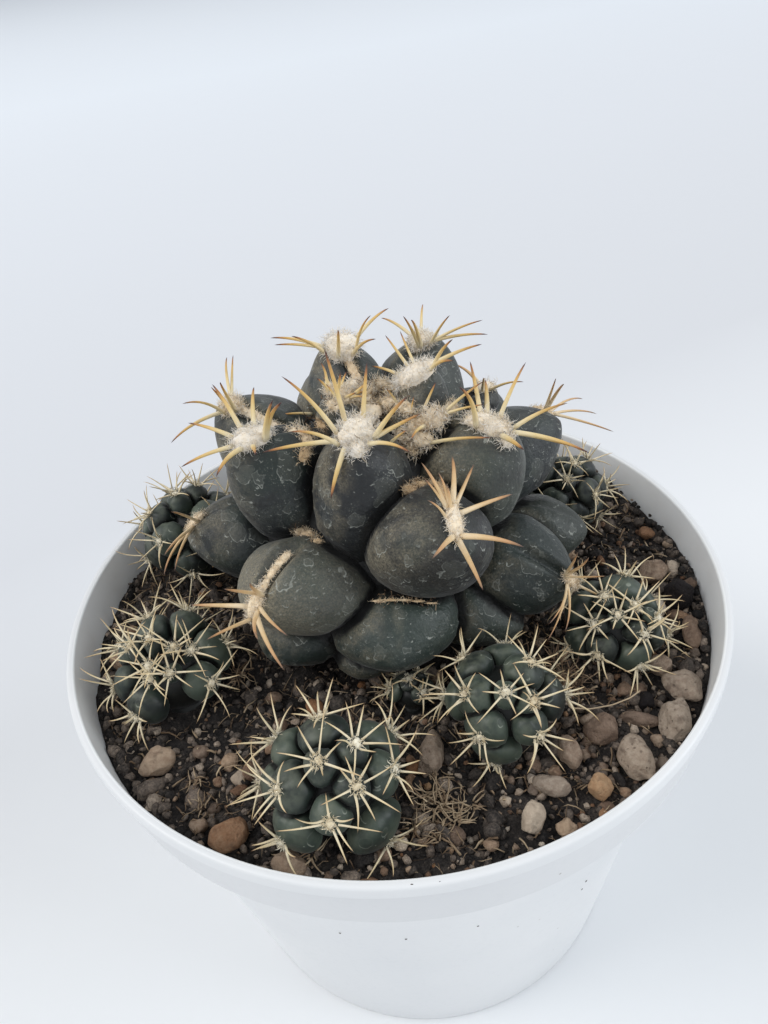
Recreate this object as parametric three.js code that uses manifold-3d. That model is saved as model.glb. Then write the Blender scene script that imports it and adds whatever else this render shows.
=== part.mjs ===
// Potted Coryphantha andreae: an old head of big egg-shaped tubercles, seven small offset heads round its foot,
// and a round nursery pot filled with soil and gravel.
// Millimetres, +Z up. The origin is the middle of the pot's foot, and the front looks along -Y.

import * as THREE from "three";
import { mergeVertices } from "three/addons/utils/BufferGeometryUtils.js";
import Module from "manifold-3d";

const wasm = await Module();
wasm.setup();

// Driving dimensions

const GAP = 0.35; // clearance between pieces that touch
const TINY = 1e-3;

const POT = {
  height: 95,
  rimRadius: 65,
  lip: 0.7, // rounding of the lip
  bandHeight: 13.5,
  bandRadius: 63.4, // outside of the band at its lower edge
  bandStep: 1.5, // height of the step inside the band
  shoulderRadius: 59, // outside of the wall just below the band
  footRadius: 48,
  footRing: 4.4, // width of the ring that the pot stands on
  footRecess: 2,
  footChamfer: 0.6,
  wall: 1.5,
  floor: 3.2, // height of the inside floor
  drainHoles: 8,
  drainRadius: 4,
  drainCircle: 30,
  drainSides: 8,
  sides: 44,
};

const SOIL = {
  level: 86,
  swell: 0.45, // height of the surface's waves
  waves: [8, 13, 7, 17], // their lengths
  rings: [1, 0.84, 0.62, 0.36],
  sides: 44,
  pebbles: 20,
  pebbleSize: 1.9, // half of a fused pebble's width
  pebbleSpread: 0.3,
  pebbleRoom: 0.8,
  pebbleZone: [31, 58], // distances from the axis that the pebbles lie between
};

// The pit that a stone lies in, as shares of the stone's half-sizes
const PIT = { mouth: 1.38, bottom: 0.95, depth: 1.25, sides: 6 };

// The old head. Its tubercles point away from the heart.
const HEART = new THREE.Vector3(0, 7, 99);
const HEAD = {
  // Radius and height of the stem and taproot, from the root's tip up
  stem: [
    [7, 57],
    [13, 66],
    [19, 78],
    [23, 88],
    [25, 98],
    [24, 110],
    [19, 119],
    [11, 127],
  ],
  stemTip: [54, 129.5], // lower and upper end of the stem on its axis
  shoulder: 28, // reach of the lowest tubercles over the soil
  sides: 12,
};

// Tubercles that bear wool and spines, those seen from the front first: azimuth from the front towards +X,
// elevation, reach from the heart, width, height, the turn of the spine fan, and the roll of the furrow about the
// axis.
const TUBERCLES = [
  [-8.5, 58, 40.5, 19, 23, 8],
  [-64, 50, 42, 17.5, 22, 20],
  [-85, 14, 40, 20, 19, 0],
  [-37, 18, 41, 24, 19, 12],
  [17, 33.5, 43, 23.5, 21, -6, 25],
  [58, 46, 41, 21, 23, 14],
  [96, 28, 42.5, 19, 21, 5, 60],
  [53, 4, 41, 22, 20, 30, -20],
  [-104, 47.5, 43, 21, 20, 25, 30],
  [-158, 72, 42, 18, 20, 10],
  [135, 60, 42, 20, 20, 0],
  [75, 71.5, 40.5, 14, 14, 18],
  [118, 38, 38, 15, 15, 7],
  [-52, 77, 38, 12, 12, 0],
  [50, 63, 36, 12, 12, 15],
  [128, 26, 40, 20, 20, 9],
  [160, 36, 41, 21, 21, 21],
  [-165, 38, 41, 21, 21, 3],
  [-128, 30, 40, 20, 20, 16],
  [136, 0, 37, 20, 16, 11],
  [166, 6, 39, 22, 18, 27],
  [-162, 7, 39, 22, 18, 6],
  [-131, 5, 38, 20, 17, 19],
];

// Old tubercles at the foot, which have lost theirs: azimuth, elevation, reach, width, height
const BARE_TUBERCLES = [
  [-1, 2, 37, 26, 18],
  [38, -6, 36, 22, 17],
  [-42, -6, 36, 24, 15],
  [-14, -12, 33, 20, 14],
  [78, 2, 41, 20, 16],
  [111, 2, 32, 17, 14],
  [-108, 4, 31, 16, 14],
];

const EGG = {
  root: 4, // distance from the heart to a tubercle's root
  shift: 1.4, // above 1, the widest place lies beyond the middle
  blunt: 0.62, // below 1, the tip is blunt
  levels: [0.28, 0.55, 0.77, 0.885],
  bareLevel: 0.96, // one more level on a bare tip
  sides: 9, // one spine grows over each
};

// The wool pad on the upper side of a tubercle's tip. Foot and crown: half-width, half-length and height.
const WOOL = {
  place: 0.955, // share of the tubercle's length
  foot: [1.7, 2.9, 0],
  crown: [1, 1.6, 1.1],
  top: 2,
};

const SPINE = {
  count: EGG.sides,
  length: 13,
  lengthSpread: 0.16,
  youngScale: 0.5, // length on the narrowest tubercles, as a share
  fullWidth: 40,
  turnSpread: 7,
  rise: 30, // degrees above the wool pad's plane
  riseSpread: 12,
  curl: 26, // degrees that the outer part bends back
  knee: 0.55,
  kneeRadius: 0.42,
};

// Offset heads: centre, radius, sense of the spiral, its twist, the axis's lean, the way it leans, the spiral's
// fall from one tubercle to the next as a share of the radius, number of tubercles
const OFFSETS = [
  [-13.1, -45.7, 92.8, 12.1, -1, 105, 27, -11, 0.085, 16],
  [16.5, -34.2, 92.6, 10.4, -1, 238, 17, 15, 0.098, 14],
  [40.3, -18.8, 91.2, 9.8, 1, 264, 28, -13, 0.085, 15],
  [-42.6, -16.1, 92, 11.7, -1, 87, 28, -128, 0.085, 16],
  [-43.2, 22.6, 95, 11.5, 1, 146, 6, -62, 0.085, 16],
  [42, 20.7, 93.4, 9.2, 1, 114, 3, 131, 0.118, 13],
  [1.1, -26.2, 88.2, 4.5, 1, 160, 35, 131, 0.12, 9],
];

const OFFSET = {
  fullRadius: 12.1, // radius of a head that bears spines of full length
  goldenTurn: 137.508,
  firstStep: 0.35,
  core: 0.83, // radius of the stem as a share of the head's
  root: 0.3, // start of a tubercle, as a share of the radius
  width: 2.7, // a tubercle's width as a share of its spacing on the spiral
  levels: [0.72],
  sides: 5, // one spine grows over each
  tipAbove: 1, // lowest tip above the soil
  padRadius: 0.85,
  padTop: 0.6,
  plugRadius: 0.4,
  plugLength: 8, // below a head of full radius
  stemSides: 8,
  stemLevels: [-60, -20, 20, 60],
};

const OFFSET_SPINE = {
  count: OFFSET.sides,
  length: 6.6,
  lengthSpread: 0.15,
  turnSpread: 9,
  rise: 34,
  riseSpread: 10,
  curl: 0,
};

// Room that a spine keeps from other pieces
const CLEAR = {
  soil: 1.6,
  stone: 0.9,
  pot: 1.1,
  tubercle: 0.7,
  spine: 1.5,
  blunt: 0.97, // share of a tubercle's length past which its width is taken as even
  box: 64.6, // farthest that anything reaches from the axis
  samples: 11,
  turns: [0, 10, -10],
  lifts: [0, 14, 28, 42],
};

// Stones: kind, x, y, widths along and across, height, turn, and how far the middle lies above the soil's level
const STONES = [
  ["pumice", 35.9, -45.2, 8.4, 5, 5, -80, 1.8],
  ["pumice", 44.6, -39, 8.8, 4.8, 5.6, 72, 1.9],
  ["pumice", 48.9, -32, 6.8, 6.2, 5.2, -37, 1.6],
  ["gravel", 46.9, -26.8, 4.4, 4.2, 4, 0, 1.2],
  ["gravel", 25.8, -41.9, 5.4, 3.4, 4.2, 86, 1.3],
  ["gravel", 16.9, -52.8, 5.2, 3.9, 4.2, 63, 1.3],
  ["gravel", 39, -37.2, 6.2, 2.8, 2.8, -20, 1.2],
  ["pumice", 2.6, -38.6, 4.4, 8.2, 5.2, -14, 1.2],
  ["gravel", -45.6, -32.6, 6.2, 5, 4.4, 35, 1],
  ["gravel", -31.2, -48.4, 6, 5, 4.8, 18, 1.2],
  ["gravel", -21.6, -55, 5, 4.2, 4, -12, 1],
  ["gravel", -56.2, -6.6, 5.2, 6, 5, 8, 1.4],
  ["gravel", 54.6, -2.2, 6.4, 5, 4.6, 80, 1.2],
  ["gravel", 50.8, -11.6, 5.4, 4.6, 4, 64, 1],
  ["gravel", 55.4, -19.6, 7.6, 3.4, 3.4, 70, 1.4],
  ["lump", 56.4, -10.8, 6, 5.6, 7, 0, 2.6],
  ["gravel", 21.5, -47.6, 5.6, 3, 3, -26, 1.1],
  ["gravel", 28.8, -48.9, 3.6, 4, 3.6, 0, 1.2],
  ["gravel", 32.6, -38.2, 5.8, 5.2, 4.2, 10, 1.1],
];

// Unevenness of a stone's corners and how far they stand out of its half-sizes
const STONE = { roughness: 0.13, bulge: 1.12 };

const FINISHES = {
  pot: { color: 0xeef0f2, roughness: 0.35 },
  soil: { color: 0x4a3526, roughness: 0.95 },
  main_head: { color: 0x4d5a50, roughness: 0.6 },
  offset_head: { color: 0x4c6650, roughness: 0.6 },
  pumice: { color: 0xbfa996, roughness: 0.9 },
  gravel: { color: 0xa88f77, roughness: 0.85 },
  lump: { color: 0x3c332d, roughness: 0.95 },
};

// Small helpers

const vec = (x, y, z) => new THREE.Vector3(x, y, z);
const rad = THREE.MathUtils.degToRad;

const HASH = { a: 12.9898, b: 78.233, scale: 43758.5453 };

// A repeatable value between -1 and 1 for two whole numbers.
function jitter(a, b) {
  const wave = Math.sin(a * HASH.a + b * HASH.b) * HASH.scale;
  return 2 * (wave - Math.floor(wave)) - 1;
}

// A unit vector from an azimuth, 0 at the front and positive towards +X, and an elevation.
function heading(azimuth, elevation) {
  const [a, e] = [rad(azimuth), rad(elevation)];
  return vec(Math.sin(a) * Math.cos(e), -Math.cos(a) * Math.cos(e), Math.sin(e));
}

function solidFrom(vertices, faces) {
  return new wasm.Manifold(
    new wasm.Mesh({
      numProp: 3,
      vertProperties: new Float32Array(vertices.flatMap((v) => v.toArray())),
      triVerts: new Uint32Array(faces.flat()),
    }),
  );
}

function solidOf(geometry) {
  geometry.deleteAttribute("normal");
  geometry.deleteAttribute("uv");
  const merged = mergeVertices(geometry);
  return new wasm.Manifold(
    new wasm.Mesh({
      numProp: 3,
      vertProperties: new Float32Array(merged.attributes.position.array),
      triVerts: new Uint32Array(merged.index.array),
    }),
  );
}

const joined = (solids) => solids.reduce((whole, solid) => whole.add(solid));
const cutBy = (whole, cutters) => whole.subtract(joined(cutters));

function meshOf(name, solid, finish) {
  const { vertProperties, triVerts } = solid.getMesh();
  const geometry = new THREE.BufferGeometry();
  geometry.setAttribute("position", new THREE.BufferAttribute(vertProperties, 3));
  geometry.setIndex(new THREE.BufferAttribute(triVerts, 1));
  geometry.computeVertexNormals();
  const material = new THREE.MeshStandardMaterial({ ...finish, metalness: 0 });
  const mesh = new THREE.Mesh(geometry, material);
  mesh.name = name;
  return mesh;
}

// A solid turned about the vertical through centre. Its profile runs from the lower end of the axis to the upper.
function turned(profile, sides, centre) {
  const geometry = new THREE.LatheGeometry(
    profile.map(([r, z]) => new THREE.Vector2(r, z)),
    sides,
  );
  geometry.rotateX(Math.PI / 2);
  geometry.translate(centre.x, centre.y, 0);
  return solidOf(geometry);
}

// Points of an oval with half-axes u and v, counter-clockwise about u x v, the first at the angle phase.
function oval(centre, u, v, count, phase = 0) {
  return Array.from({ length: count }, (_, i) => {
    const angle = (2 * Math.PI * i) / count + phase;
    return centre.clone().addScaledVector(u, Math.cos(angle)).addScaledVector(v, Math.sin(angle));
  });
}

// Three corners round a spine's knee, each on the side of one corner of its foot.
function kneeCorners(foot, { knee, tip }, radius) {
  const axis = tip.clone().sub(knee).normalize();
  const middle = foot.reduce((sum, corner) => sum.add(corner), vec(0, 0, 0)).divideScalar(foot.length);
  return foot.map((corner) => {
    const side = corner.clone().sub(middle).projectOnPlane(axis).normalize();
    return knee.clone().addScaledVector(side, radius);
  });
}

// A closed skin from the point start over rings of points to the point end. Over each facet of its end, a spine
// may grow: a tip, with a knee where the spine is bent.
function skin(start, rings, end, spines = []) {
  const sides = rings[0].length;
  const top = rings.length - 1;
  const vertices = [start, ...rings.flat(), end];
  const last = vertices.length - 1;
  const at = (ring, side) => 1 + ring * sides + (side % sides);
  const faces = [];
  const band = (a, b) => a.forEach((_, i) => {
    const next = (i + 1) % a.length;
    faces.push([a[i], a[next], b[next]], [a[i], b[next], b[i]]);
  });
  for (let side = 0; side < sides; side++) {
    faces.push([0, at(0, side + 1), at(0, side)]);
    for (let ring = 0; ring < top; ring++) {
      faces.push([at(ring, side), at(ring, side + 1), at(ring + 1, side + 1)]);
      faces.push([at(ring, side), at(ring + 1, side + 1), at(ring + 1, side)]);
    }
    let foot = [at(top, side), at(top, side + 1), last];
    const spine = spines[side];
    if (!spine) {
      faces.push(foot);
      continue;
    }
    if (spine.knee) {
      const corners = kneeCorners(foot.map((i) => vertices[i]), spine, SPINE.kneeRadius);
      const knees = corners.map((corner) => vertices.push(corner) - 1);
      band(foot, knees);
      foot = knees;
    }
    const tip = vertices.push(spine.tip) - 1;
    foot.forEach((corner, i) => faces.push([corner, foot[(i + 1) % foot.length], tip]));
  }
  return solidFrom(vertices, faces);
}

// Pot

const bandBottom = POT.height - POT.bandHeight;
const stepTop = bandBottom + POT.bandStep;
const innerRim = POT.rimRadius - POT.wall;

// Outside radius of the wall below the band at a height.
function wallRadius(z) {
  return THREE.MathUtils.lerp(POT.footRadius, POT.shoulderRadius, z / bandBottom);
}

// Inside radius at a height, the band's step included.
function innerRadius(z) {
  if (z < stepTop) return wallRadius(z) - POT.wall;
  const share = (z - bandBottom) / POT.bandHeight;
  return THREE.MathUtils.lerp(POT.bandRadius, POT.rimRadius, share) - POT.wall;
}

function makePot() {
  const ringInside = POT.footRadius - POT.footRing;
  const body = turned(
    [
      [0, POT.footRecess],
      [ringInside - POT.footChamfer, POT.footRecess],
      [ringInside, 0],
      [POT.footRadius, 0],
      [POT.shoulderRadius, bandBottom],
      [POT.bandRadius, bandBottom],
      [POT.rimRadius, POT.height - POT.lip],
      [POT.rimRadius - POT.lip, POT.height],
      [innerRim, POT.height - POT.lip / 2],
      [innerRadius(stepTop), stepTop],
      [wallRadius(stepTop) - POT.wall, stepTop],
      [innerRadius(POT.floor), POT.floor],
      [0, POT.floor],
    ],
    POT.sides,
    vec(0, 0, 0),
  );
  const drains = Array.from({ length: POT.drainHoles }, (_, i) => {
    const hole = new THREE.CylinderGeometry(POT.drainRadius, POT.drainRadius, 2 * POT.floor, POT.drainSides);
    hole.rotateX(Math.PI / 2);
    const angle = (2 * Math.PI * (i + 0.5)) / POT.drainHoles;
    hole.translate(POT.drainCircle * Math.cos(angle), POT.drainCircle * Math.sin(angle), POT.floor);
    return solidOf(hole);
  });
  return cutBy(body, drains);
}

// Tubercles and wool pads

const eggWidth = (t) => Math.pow(Math.sin(Math.PI * Math.pow(t, EGG.shift)), EGG.blunt);

// A tubercle on an axis from its root, with the way across it and the way up its back. The turn is that of its
// facets and spines. Without a roll, the way across is level.
function tubercleAt(root, axis, length, width, height, turn, roll = 0) {
  const flat = Math.hypot(axis.x, axis.y) > TINY;
  const across = flat ? vec(-axis.y, axis.x, 0).normalize() : vec(1, 0, 0);
  across.applyAxisAngle(axis, rad(-roll));
  const up = axis.clone().cross(across);
  return { root, axis, across, up, length, width, height, turn: rad(turn) };
}

function tubercleRing({ root, axis, across, up, length, width, height, turn }, t, sides) {
  return oval(
    root.clone().addScaledVector(axis, length * t),
    across.clone().multiplyScalar((width / 2) * eggWidth(t)),
    up.clone().multiplyScalar((height / 2) * eggWidth(t)),
    sides,
    turn,
  );
}

const tipOf = ({ root, axis, length }) => root.clone().addScaledVector(axis, length);

// Place of the wool pad, its outward direction, the way back to the axil, and the way across.
function areoleOf({ root, axis, across, up, length, height, turn }) {
  const rise = eggWidth(WOOL.place + TINY) - eggWidth(WOOL.place - TINY);
  const slope = ((height / 2) * rise) / (2 * TINY);
  const centre = root
    .clone()
    .addScaledVector(axis, length * WOOL.place)
    .addScaledVector(up, (height / 2) * eggWidth(WOOL.place));
  const out = axis.clone().multiplyScalar(-slope).addScaledVector(up, length).normalize();
  return { centre, out, back: out.clone().cross(across), across, turn };
}

// The areole at a small tubercle's very tip.
function tipAreole(tubercle) {
  const { axis, up, across, turn } = tubercle;
  return { centre: tipOf(tubercle), out: axis, back: up, across, turn };
}

function padRing({ centre, out, back, across, turn }, [width, length, height], sides) {
  return oval(
    centre.clone().addScaledVector(out, height),
    across.clone().multiplyScalar(width),
    back.clone().multiplyScalar(length),
    sides,
    turn,
  );
}

// Spines

// The spine that grows at an angle round the areole, counted from across towards back, with a knee if it curls.
function spineAt({ centre, out, back, across }, angle, rise, length, style) {
  const flat = across.clone().multiplyScalar(Math.cos(angle)).addScaledVector(back, Math.sin(angle));
  const toward = (lift) =>
    flat.clone().multiplyScalar(Math.cos(rad(lift))).addScaledVector(out, Math.sin(rad(lift)));
  if (!style.curl) return { foot: centre, tip: centre.clone().addScaledVector(toward(rise), length) };
  const knee = centre.clone().addScaledVector(toward(rise), length * style.knee);
  const tip = knee.clone().addScaledVector(toward(rise - style.curl), length * (1 - style.knee));
  return { foot: centre, knee, tip };
}

// Points along a spine, those in its wool left out.
function samplesOf({ foot, knee, tip }) {
  const path = new THREE.CurvePath();
  const corners = knee ? [foot, knee, tip] : [foot, tip];
  corners.slice(1).forEach((point, i) => path.add(new THREE.LineCurve3(corners[i], point)));
  return path.getSpacedPoints(CLEAR.samples).slice(2);
}

// Soil surface and what lies on it

function soilHeight(x, y) {
  const [a, b, c, d] = SOIL.waves;
  const waves = Math.sin(x / a + y / b) + Math.sin(y / c - x / d);
  return SOIL.level + (SOIL.swell * waves) / 2;
}

const stones = STONES.map(([kind, x, y, length, width, height, turn, lift], i) => ({
  kind,
  centre: vec(x, y, SOIL.level + lift),
  half: vec(length, width, height).divideScalar(2),
  turn,
  seed: i,
}));

function stoneSolid({ centre, half, turn, seed }) {
  const shape = new THREE.DodecahedronGeometry(STONE.bulge);
  shape.deleteAttribute("normal");
  shape.deleteAttribute("uv");
  const merged = mergeVertices(shape);
  const corners = merged.attributes.position;
  for (let i = 0; i < corners.count; i++) {
    const scale = 1 + STONE.roughness * jitter(seed, i);
    corners.setXYZ(i, corners.getX(i) * scale, corners.getY(i) * scale, corners.getZ(i) * scale);
  }
  merged.scale(half.x, half.y, half.z);
  merged.rotateZ(rad(turn));
  merged.translate(centre.x, centre.y, centre.z);
  return solidOf(merged);
}

// Heads

function headTubercle([azimuth, elevation, reach, width, height, turn = 0, roll = 0]) {
  const axis = heading(azimuth, elevation);
  const root = HEART.clone().addScaledVector(axis, EGG.root);
  return tubercleAt(root, axis, reach - EGG.root, width, height, turn, roll);
}

const mainHead = {
  name: "main_head",
  spiny: TUBERCLES.map(headTubercle),
  bare: BARE_TUBERCLES.map(headTubercle),
};

// Places on a sphere, on a spiral from its leaning axis downwards.
function spiralAxis(k, { sense, twist, lean, leanTo }, step) {
  const level = 1 - (k + OFFSET.firstStep) * step;
  const angle = rad(sense * k * OFFSET.goldenTurn + twist);
  const flat = Math.sqrt(1 - level * level);
  const axis = vec(flat * Math.cos(angle), flat * Math.sin(angle), level);
  const hinge = heading(leanTo + 90, 0);
  return axis.applyAxisAngle(hinge, rad(lean));
}

function offsetHead([x, y, z, radius, sense, twist, lean, leanTo, step, count], index) {
  const centre = vec(x, y, z);
  const size = radius * OFFSET.width * Math.sqrt(step);
  const tubercles = Array.from({ length: count }, (_, k) => {
    const axis = spiralAxis(k, { sense, twist, lean, leanTo }, step);
    const root = centre.clone().addScaledVector(axis, radius * OFFSET.root);
    const turn = (180 / OFFSET.sides) * jitter(index, k);
    return tubercleAt(root, axis, radius * (1 - OFFSET.root), size, size, turn);
  });
  const standing = tubercles.filter((tubercle) => tipOf(tubercle).z > SOIL.level + OFFSET.tipAbove);
  return { name: `offset_head_${index + 1}`, centre, radius, tubercles: standing };
}

const offsetHeads = OFFSETS.map(offsetHead);

// Profile of the old head's stem and taproot, larger all round by grow.
function stemProfile(grow = 0) {
  const [bottom, top] = HEAD.stemTip;
  return [[0, bottom - grow], ...HEAD.stem.map(([r, z]) => [r + grow, z - grow]), [0, top + grow]];
}

// Profile of an offset head's stem, a ball of the given radius on a root plug.
function ballProfile({ centre, radius }, ball, grow = 0) {
  const plug = radius * OFFSET.plugRadius + grow;
  const end = centre.z - radius - OFFSET.plugLength * (radius / OFFSET.fullRadius) - grow;
  const onBall = (angle) => [ball * Math.cos(angle), centre.z + ball * Math.sin(angle)];
  const rings = OFFSET.stemLevels.map((angle) => onBall(rad(angle)));
  const neck = rings[0][1];
  return [[0, end], [plug, end], [plug, neck], ...rings, [0, centre.z + ball]];
}

// Whether a path keeps clear of the pot, the soil and the stones.
function clearOfBed(points) {
  return points.every((point) => {
    const reach = Math.hypot(point.x, point.y);
    if (reach > CLEAR.box) return false;
    if (point.z < POT.height + CLEAR.pot && reach > innerRadius(SOIL.level) - CLEAR.pot) return false;
    if (point.z < soilHeight(point.x, point.y) + CLEAR.soil) return false;
    return stones.every(({ centre, half }) => {
      const room = Math.max(half.x, half.y, half.z) + CLEAR.stone;
      return centre.distanceTo(point) > room;
    });
  });
}

function insideTubercle(point, { root, axis, across, up, length, width, height }, margin) {
  const offset = point.clone().sub(root);
  const t = offset.dot(axis) / length;
  if (t <= 0 || t > 1 + margin / length) return false;
  const swell = eggWidth(Math.min(t, CLEAR.blunt));
  const x = offset.dot(across) / ((width / 2) * swell + margin);
  const y = offset.dot(up) / ((height / 2) * swell + margin);
  return x * x + y * y < 1;
}

// Whether a path keeps clear of every head but the tubercle that it stands on.
function clearOfHeads(points, head, parent) {
  const others = [...mainHead.spiny, ...mainHead.bare].filter((tubercle) => tubercle !== parent);
  const hits = (point) => others.some((other) => insideTubercle(point, other, CLEAR.tubercle));
  if (points.some(hits)) return false;
  const isOff = (other) =>
    points.every((point) => point.distanceTo(other.centre) > other.radius + CLEAR.tubercle);
  return offsetHeads.every((other) => other === head || isOff(other));
}

const placed = []; // the sample points of each spine so far, with its head

function clearOfSpines(points, head) {
  const isOff = (other) => points.every((a) => other.points.every((b) => a.distanceTo(b) > CLEAR.spine));
  return placed.every((other) => other.head === head || isOff(other));
}

// The wanted spine, or the nearest bend of it that is clear, or nothing.
function clearSpine(head, tubercle, areole, { angle, rise, length }, style) {
  for (const lift of CLEAR.lifts)
    for (const turn of CLEAR.turns) {
      const spine = spineAt(areole, angle + rad(turn), rise + lift, length, style);
      const points = samplesOf(spine);
      if (!clearOfBed(points) || !clearOfHeads(points, head, tubercle)) continue;
      if (!clearOfSpines(points, head)) continue;
      placed.push({ head, points });
      return spine;
    }
  return null;
}

// One spine over each facet of the areole, low and high in turn.
function spineFan(head, tubercle, areole, index, style, scale) {
  return Array.from({ length: style.count }, (_, i) => {
    const seed = index * style.count + i;
    const facet = (2 * Math.PI * (i + 0.5)) / style.count;
    const angle = areole.turn + facet + rad(style.turnSpread * jitter(seed, 1));
    const rise = style.rise + (i % 2 ? style.riseSpread : -style.riseSpread);
    const length = style.length * scale * (1 + style.lengthSpread * jitter(seed, 2));
    return clearSpine(head, tubercle, areole, { angle, rise, length }, style);
  });
}

function bareTubercle(tubercle) {
  const rings = [...EGG.levels, EGG.bareLevel].map((t) => tubercleRing(tubercle, t, EGG.sides));
  return skin(tubercle.root, rings, tipOf(tubercle));
}

// A big tubercle with its wool pad and spines.
function bigTubercle(tubercle, index) {
  const areole = areoleOf(tubercle);
  const scale = Math.min(1, SPINE.youngScale + tubercle.width / SPINE.fullWidth);
  const rings = EGG.levels.map((t) => tubercleRing(tubercle, t, EGG.sides));
  rings.push(padRing(areole, WOOL.foot, EGG.sides), padRing(areole, WOOL.crown, EGG.sides));
  const top = areole.centre.clone().addScaledVector(areole.out, WOOL.top);
  return skin(tubercle.root, rings, top, spineFan(mainHead, tubercle, areole, index, SPINE, scale));
}

// A small tubercle of an offset head, its wool pad at the tip.
function smallTubercle(head, tubercle, index) {
  const areole = tipAreole(tubercle);
  const scale = head.radius / OFFSET.fullRadius;
  const rings = OFFSET.levels.map((t) => tubercleRing(tubercle, t, OFFSET.sides));
  rings.push(padRing(areole, [OFFSET.padRadius, OFFSET.padRadius, 0], OFFSET.sides));
  const top = areole.centre.clone().addScaledVector(areole.out, OFFSET.padTop);
  return skin(tubercle.root, rings, top, spineFan(head, tubercle, areole, index, OFFSET_SPINE, scale));
}

function makeMainHead() {
  const stem = turned(stemProfile(), HEAD.sides, HEART);
  return joined([stem, ...mainHead.spiny.map(bigTubercle), ...mainHead.bare.map(bareTubercle)]);
}

function makeOffsetHead(head) {
  const stem = turned(ballProfile(head, head.radius * OFFSET.core), OFFSET.stemSides, head.centre);
  return joined([stem, ...head.tubercles.map((tubercle, index) => smallTubercle(head, tubercle, index))]);
}

// Soil

const pebbles = Array.from({ length: SOIL.pebbles }, (_, i) => {
  const [near, far] = SOIL.pebbleZone;
  const angle = rad(i * OFFSET.goldenTurn);
  const reach = THREE.MathUtils.lerp(near, far, Math.sqrt((i + 0.5) / SOIL.pebbles));
  const [x, y] = [reach * Math.cos(angle), reach * Math.sin(angle)];
  const size = SOIL.pebbleSize * (1 + SOIL.pebbleSpread * jitter(i, 3));
  return { centre: vec(x, y, soilHeight(x, y)), size, turn: Math.PI * jitter(i, 4) };
}).filter(({ centre, size }) => {
  const isOff = (other, reach) =>
    Math.hypot(other.x - centre.x, other.y - centre.y) > reach + size + SOIL.pebbleRoom;
  const offHeads = offsetHeads.every((head) => isOff(head.centre, head.radius));
  const pitReach = ({ half }) => PIT.mouth * Math.max(half.x, half.y);
  const offStones = stones.every((stone) => isOff(stone.centre, pitReach(stone)));
  return offHeads && offStones && isOff(HEART, HEAD.shoulder);
});

function pebbleSolid({ centre, size, turn }) {
  const shape = new THREE.OctahedronGeometry(size);
  shape.rotateZ(turn);
  shape.translate(centre.x, centre.y, centre.z);
  return solidOf(shape);
}

// The pit that a stone lies in.
function pitSolid({ centre, half, turn }) {
  const along = vec(Math.cos(rad(turn)), Math.sin(rad(turn)), 0);
  const aside = vec(-along.y, along.x, 0);
  const ring = (share, z) =>
    oval(
      vec(centre.x, centre.y, z),
      along.clone().multiplyScalar(half.x * share + GAP),
      aside.clone().multiplyScalar(half.y * share + GAP),
      PIT.sides,
    );
  const low = centre.z - half.z * PIT.depth - GAP;
  const high = centre.z + half.z;
  const rings = [ring(PIT.bottom, low), ring(PIT.mouth, high)];
  return skin(vec(centre.x, centre.y, low), rings, vec(centre.x, centre.y, high));
}

function makeSoil() {
  const low = POT.floor + GAP;
  const step = stepTop + GAP;
  const edge = innerRadius(SOIL.level) - GAP;
  const level = (radius, z) => oval(vec(0, 0, z), vec(radius, 0, 0), vec(0, radius, 0), SOIL.sides);
  const onSurface = ({ x, y }) => vec(x, y, soilHeight(x, y));
  const surface = SOIL.rings.map((share) => level(edge * share, 0).map(onSurface));
  const rings = [
    level(innerRadius(POT.floor) - GAP, low),
    level(wallRadius(stepTop) - POT.wall - GAP, step),
    level(innerRadius(step) - GAP, step),
    ...surface,
  ];
  const body = skin(vec(0, 0, low), rings, vec(0, 0, soilHeight(0, 0)));
  const rootHole = (head) =>
    turned(ballProfile(head, head.radius + GAP, GAP), OFFSET.stemSides, head.centre);
  return cutBy(joined([body, ...pebbles.map(pebbleSolid)]), [
    turned(stemProfile(GAP), HEAD.sides, HEART),
    ...offsetHeads.map(rootHole),
    ...stones.map(pitSolid),
  ]);
}

// The whole plant in its pot

const root = new THREE.Group();
root.name = "potted_coryphantha_andreae";
root.add(meshOf("pot", makePot(), FINISHES.pot));
root.add(meshOf("soil", makeSoil(), FINISHES.soil));
root.add(meshOf(mainHead.name, makeMainHead(), FINISHES.main_head));
offsetHeads.forEach((head) => root.add(meshOf(head.name, makeOffsetHead(head), FINISHES.offset_head)));
stones.forEach((stone, i) => {
  root.add(meshOf(`${stone.kind}_${i + 1}`, stoneSolid(stone), FINISHES[stone.kind]));
});

export default root;
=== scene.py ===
"""The finished look of a potted Coryphantha andreae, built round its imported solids.

Sizes are millimetres until a mesh is made. The origin is the middle of the pot's foot, +Z is up, and the
front looks along -Y.
"""

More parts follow.
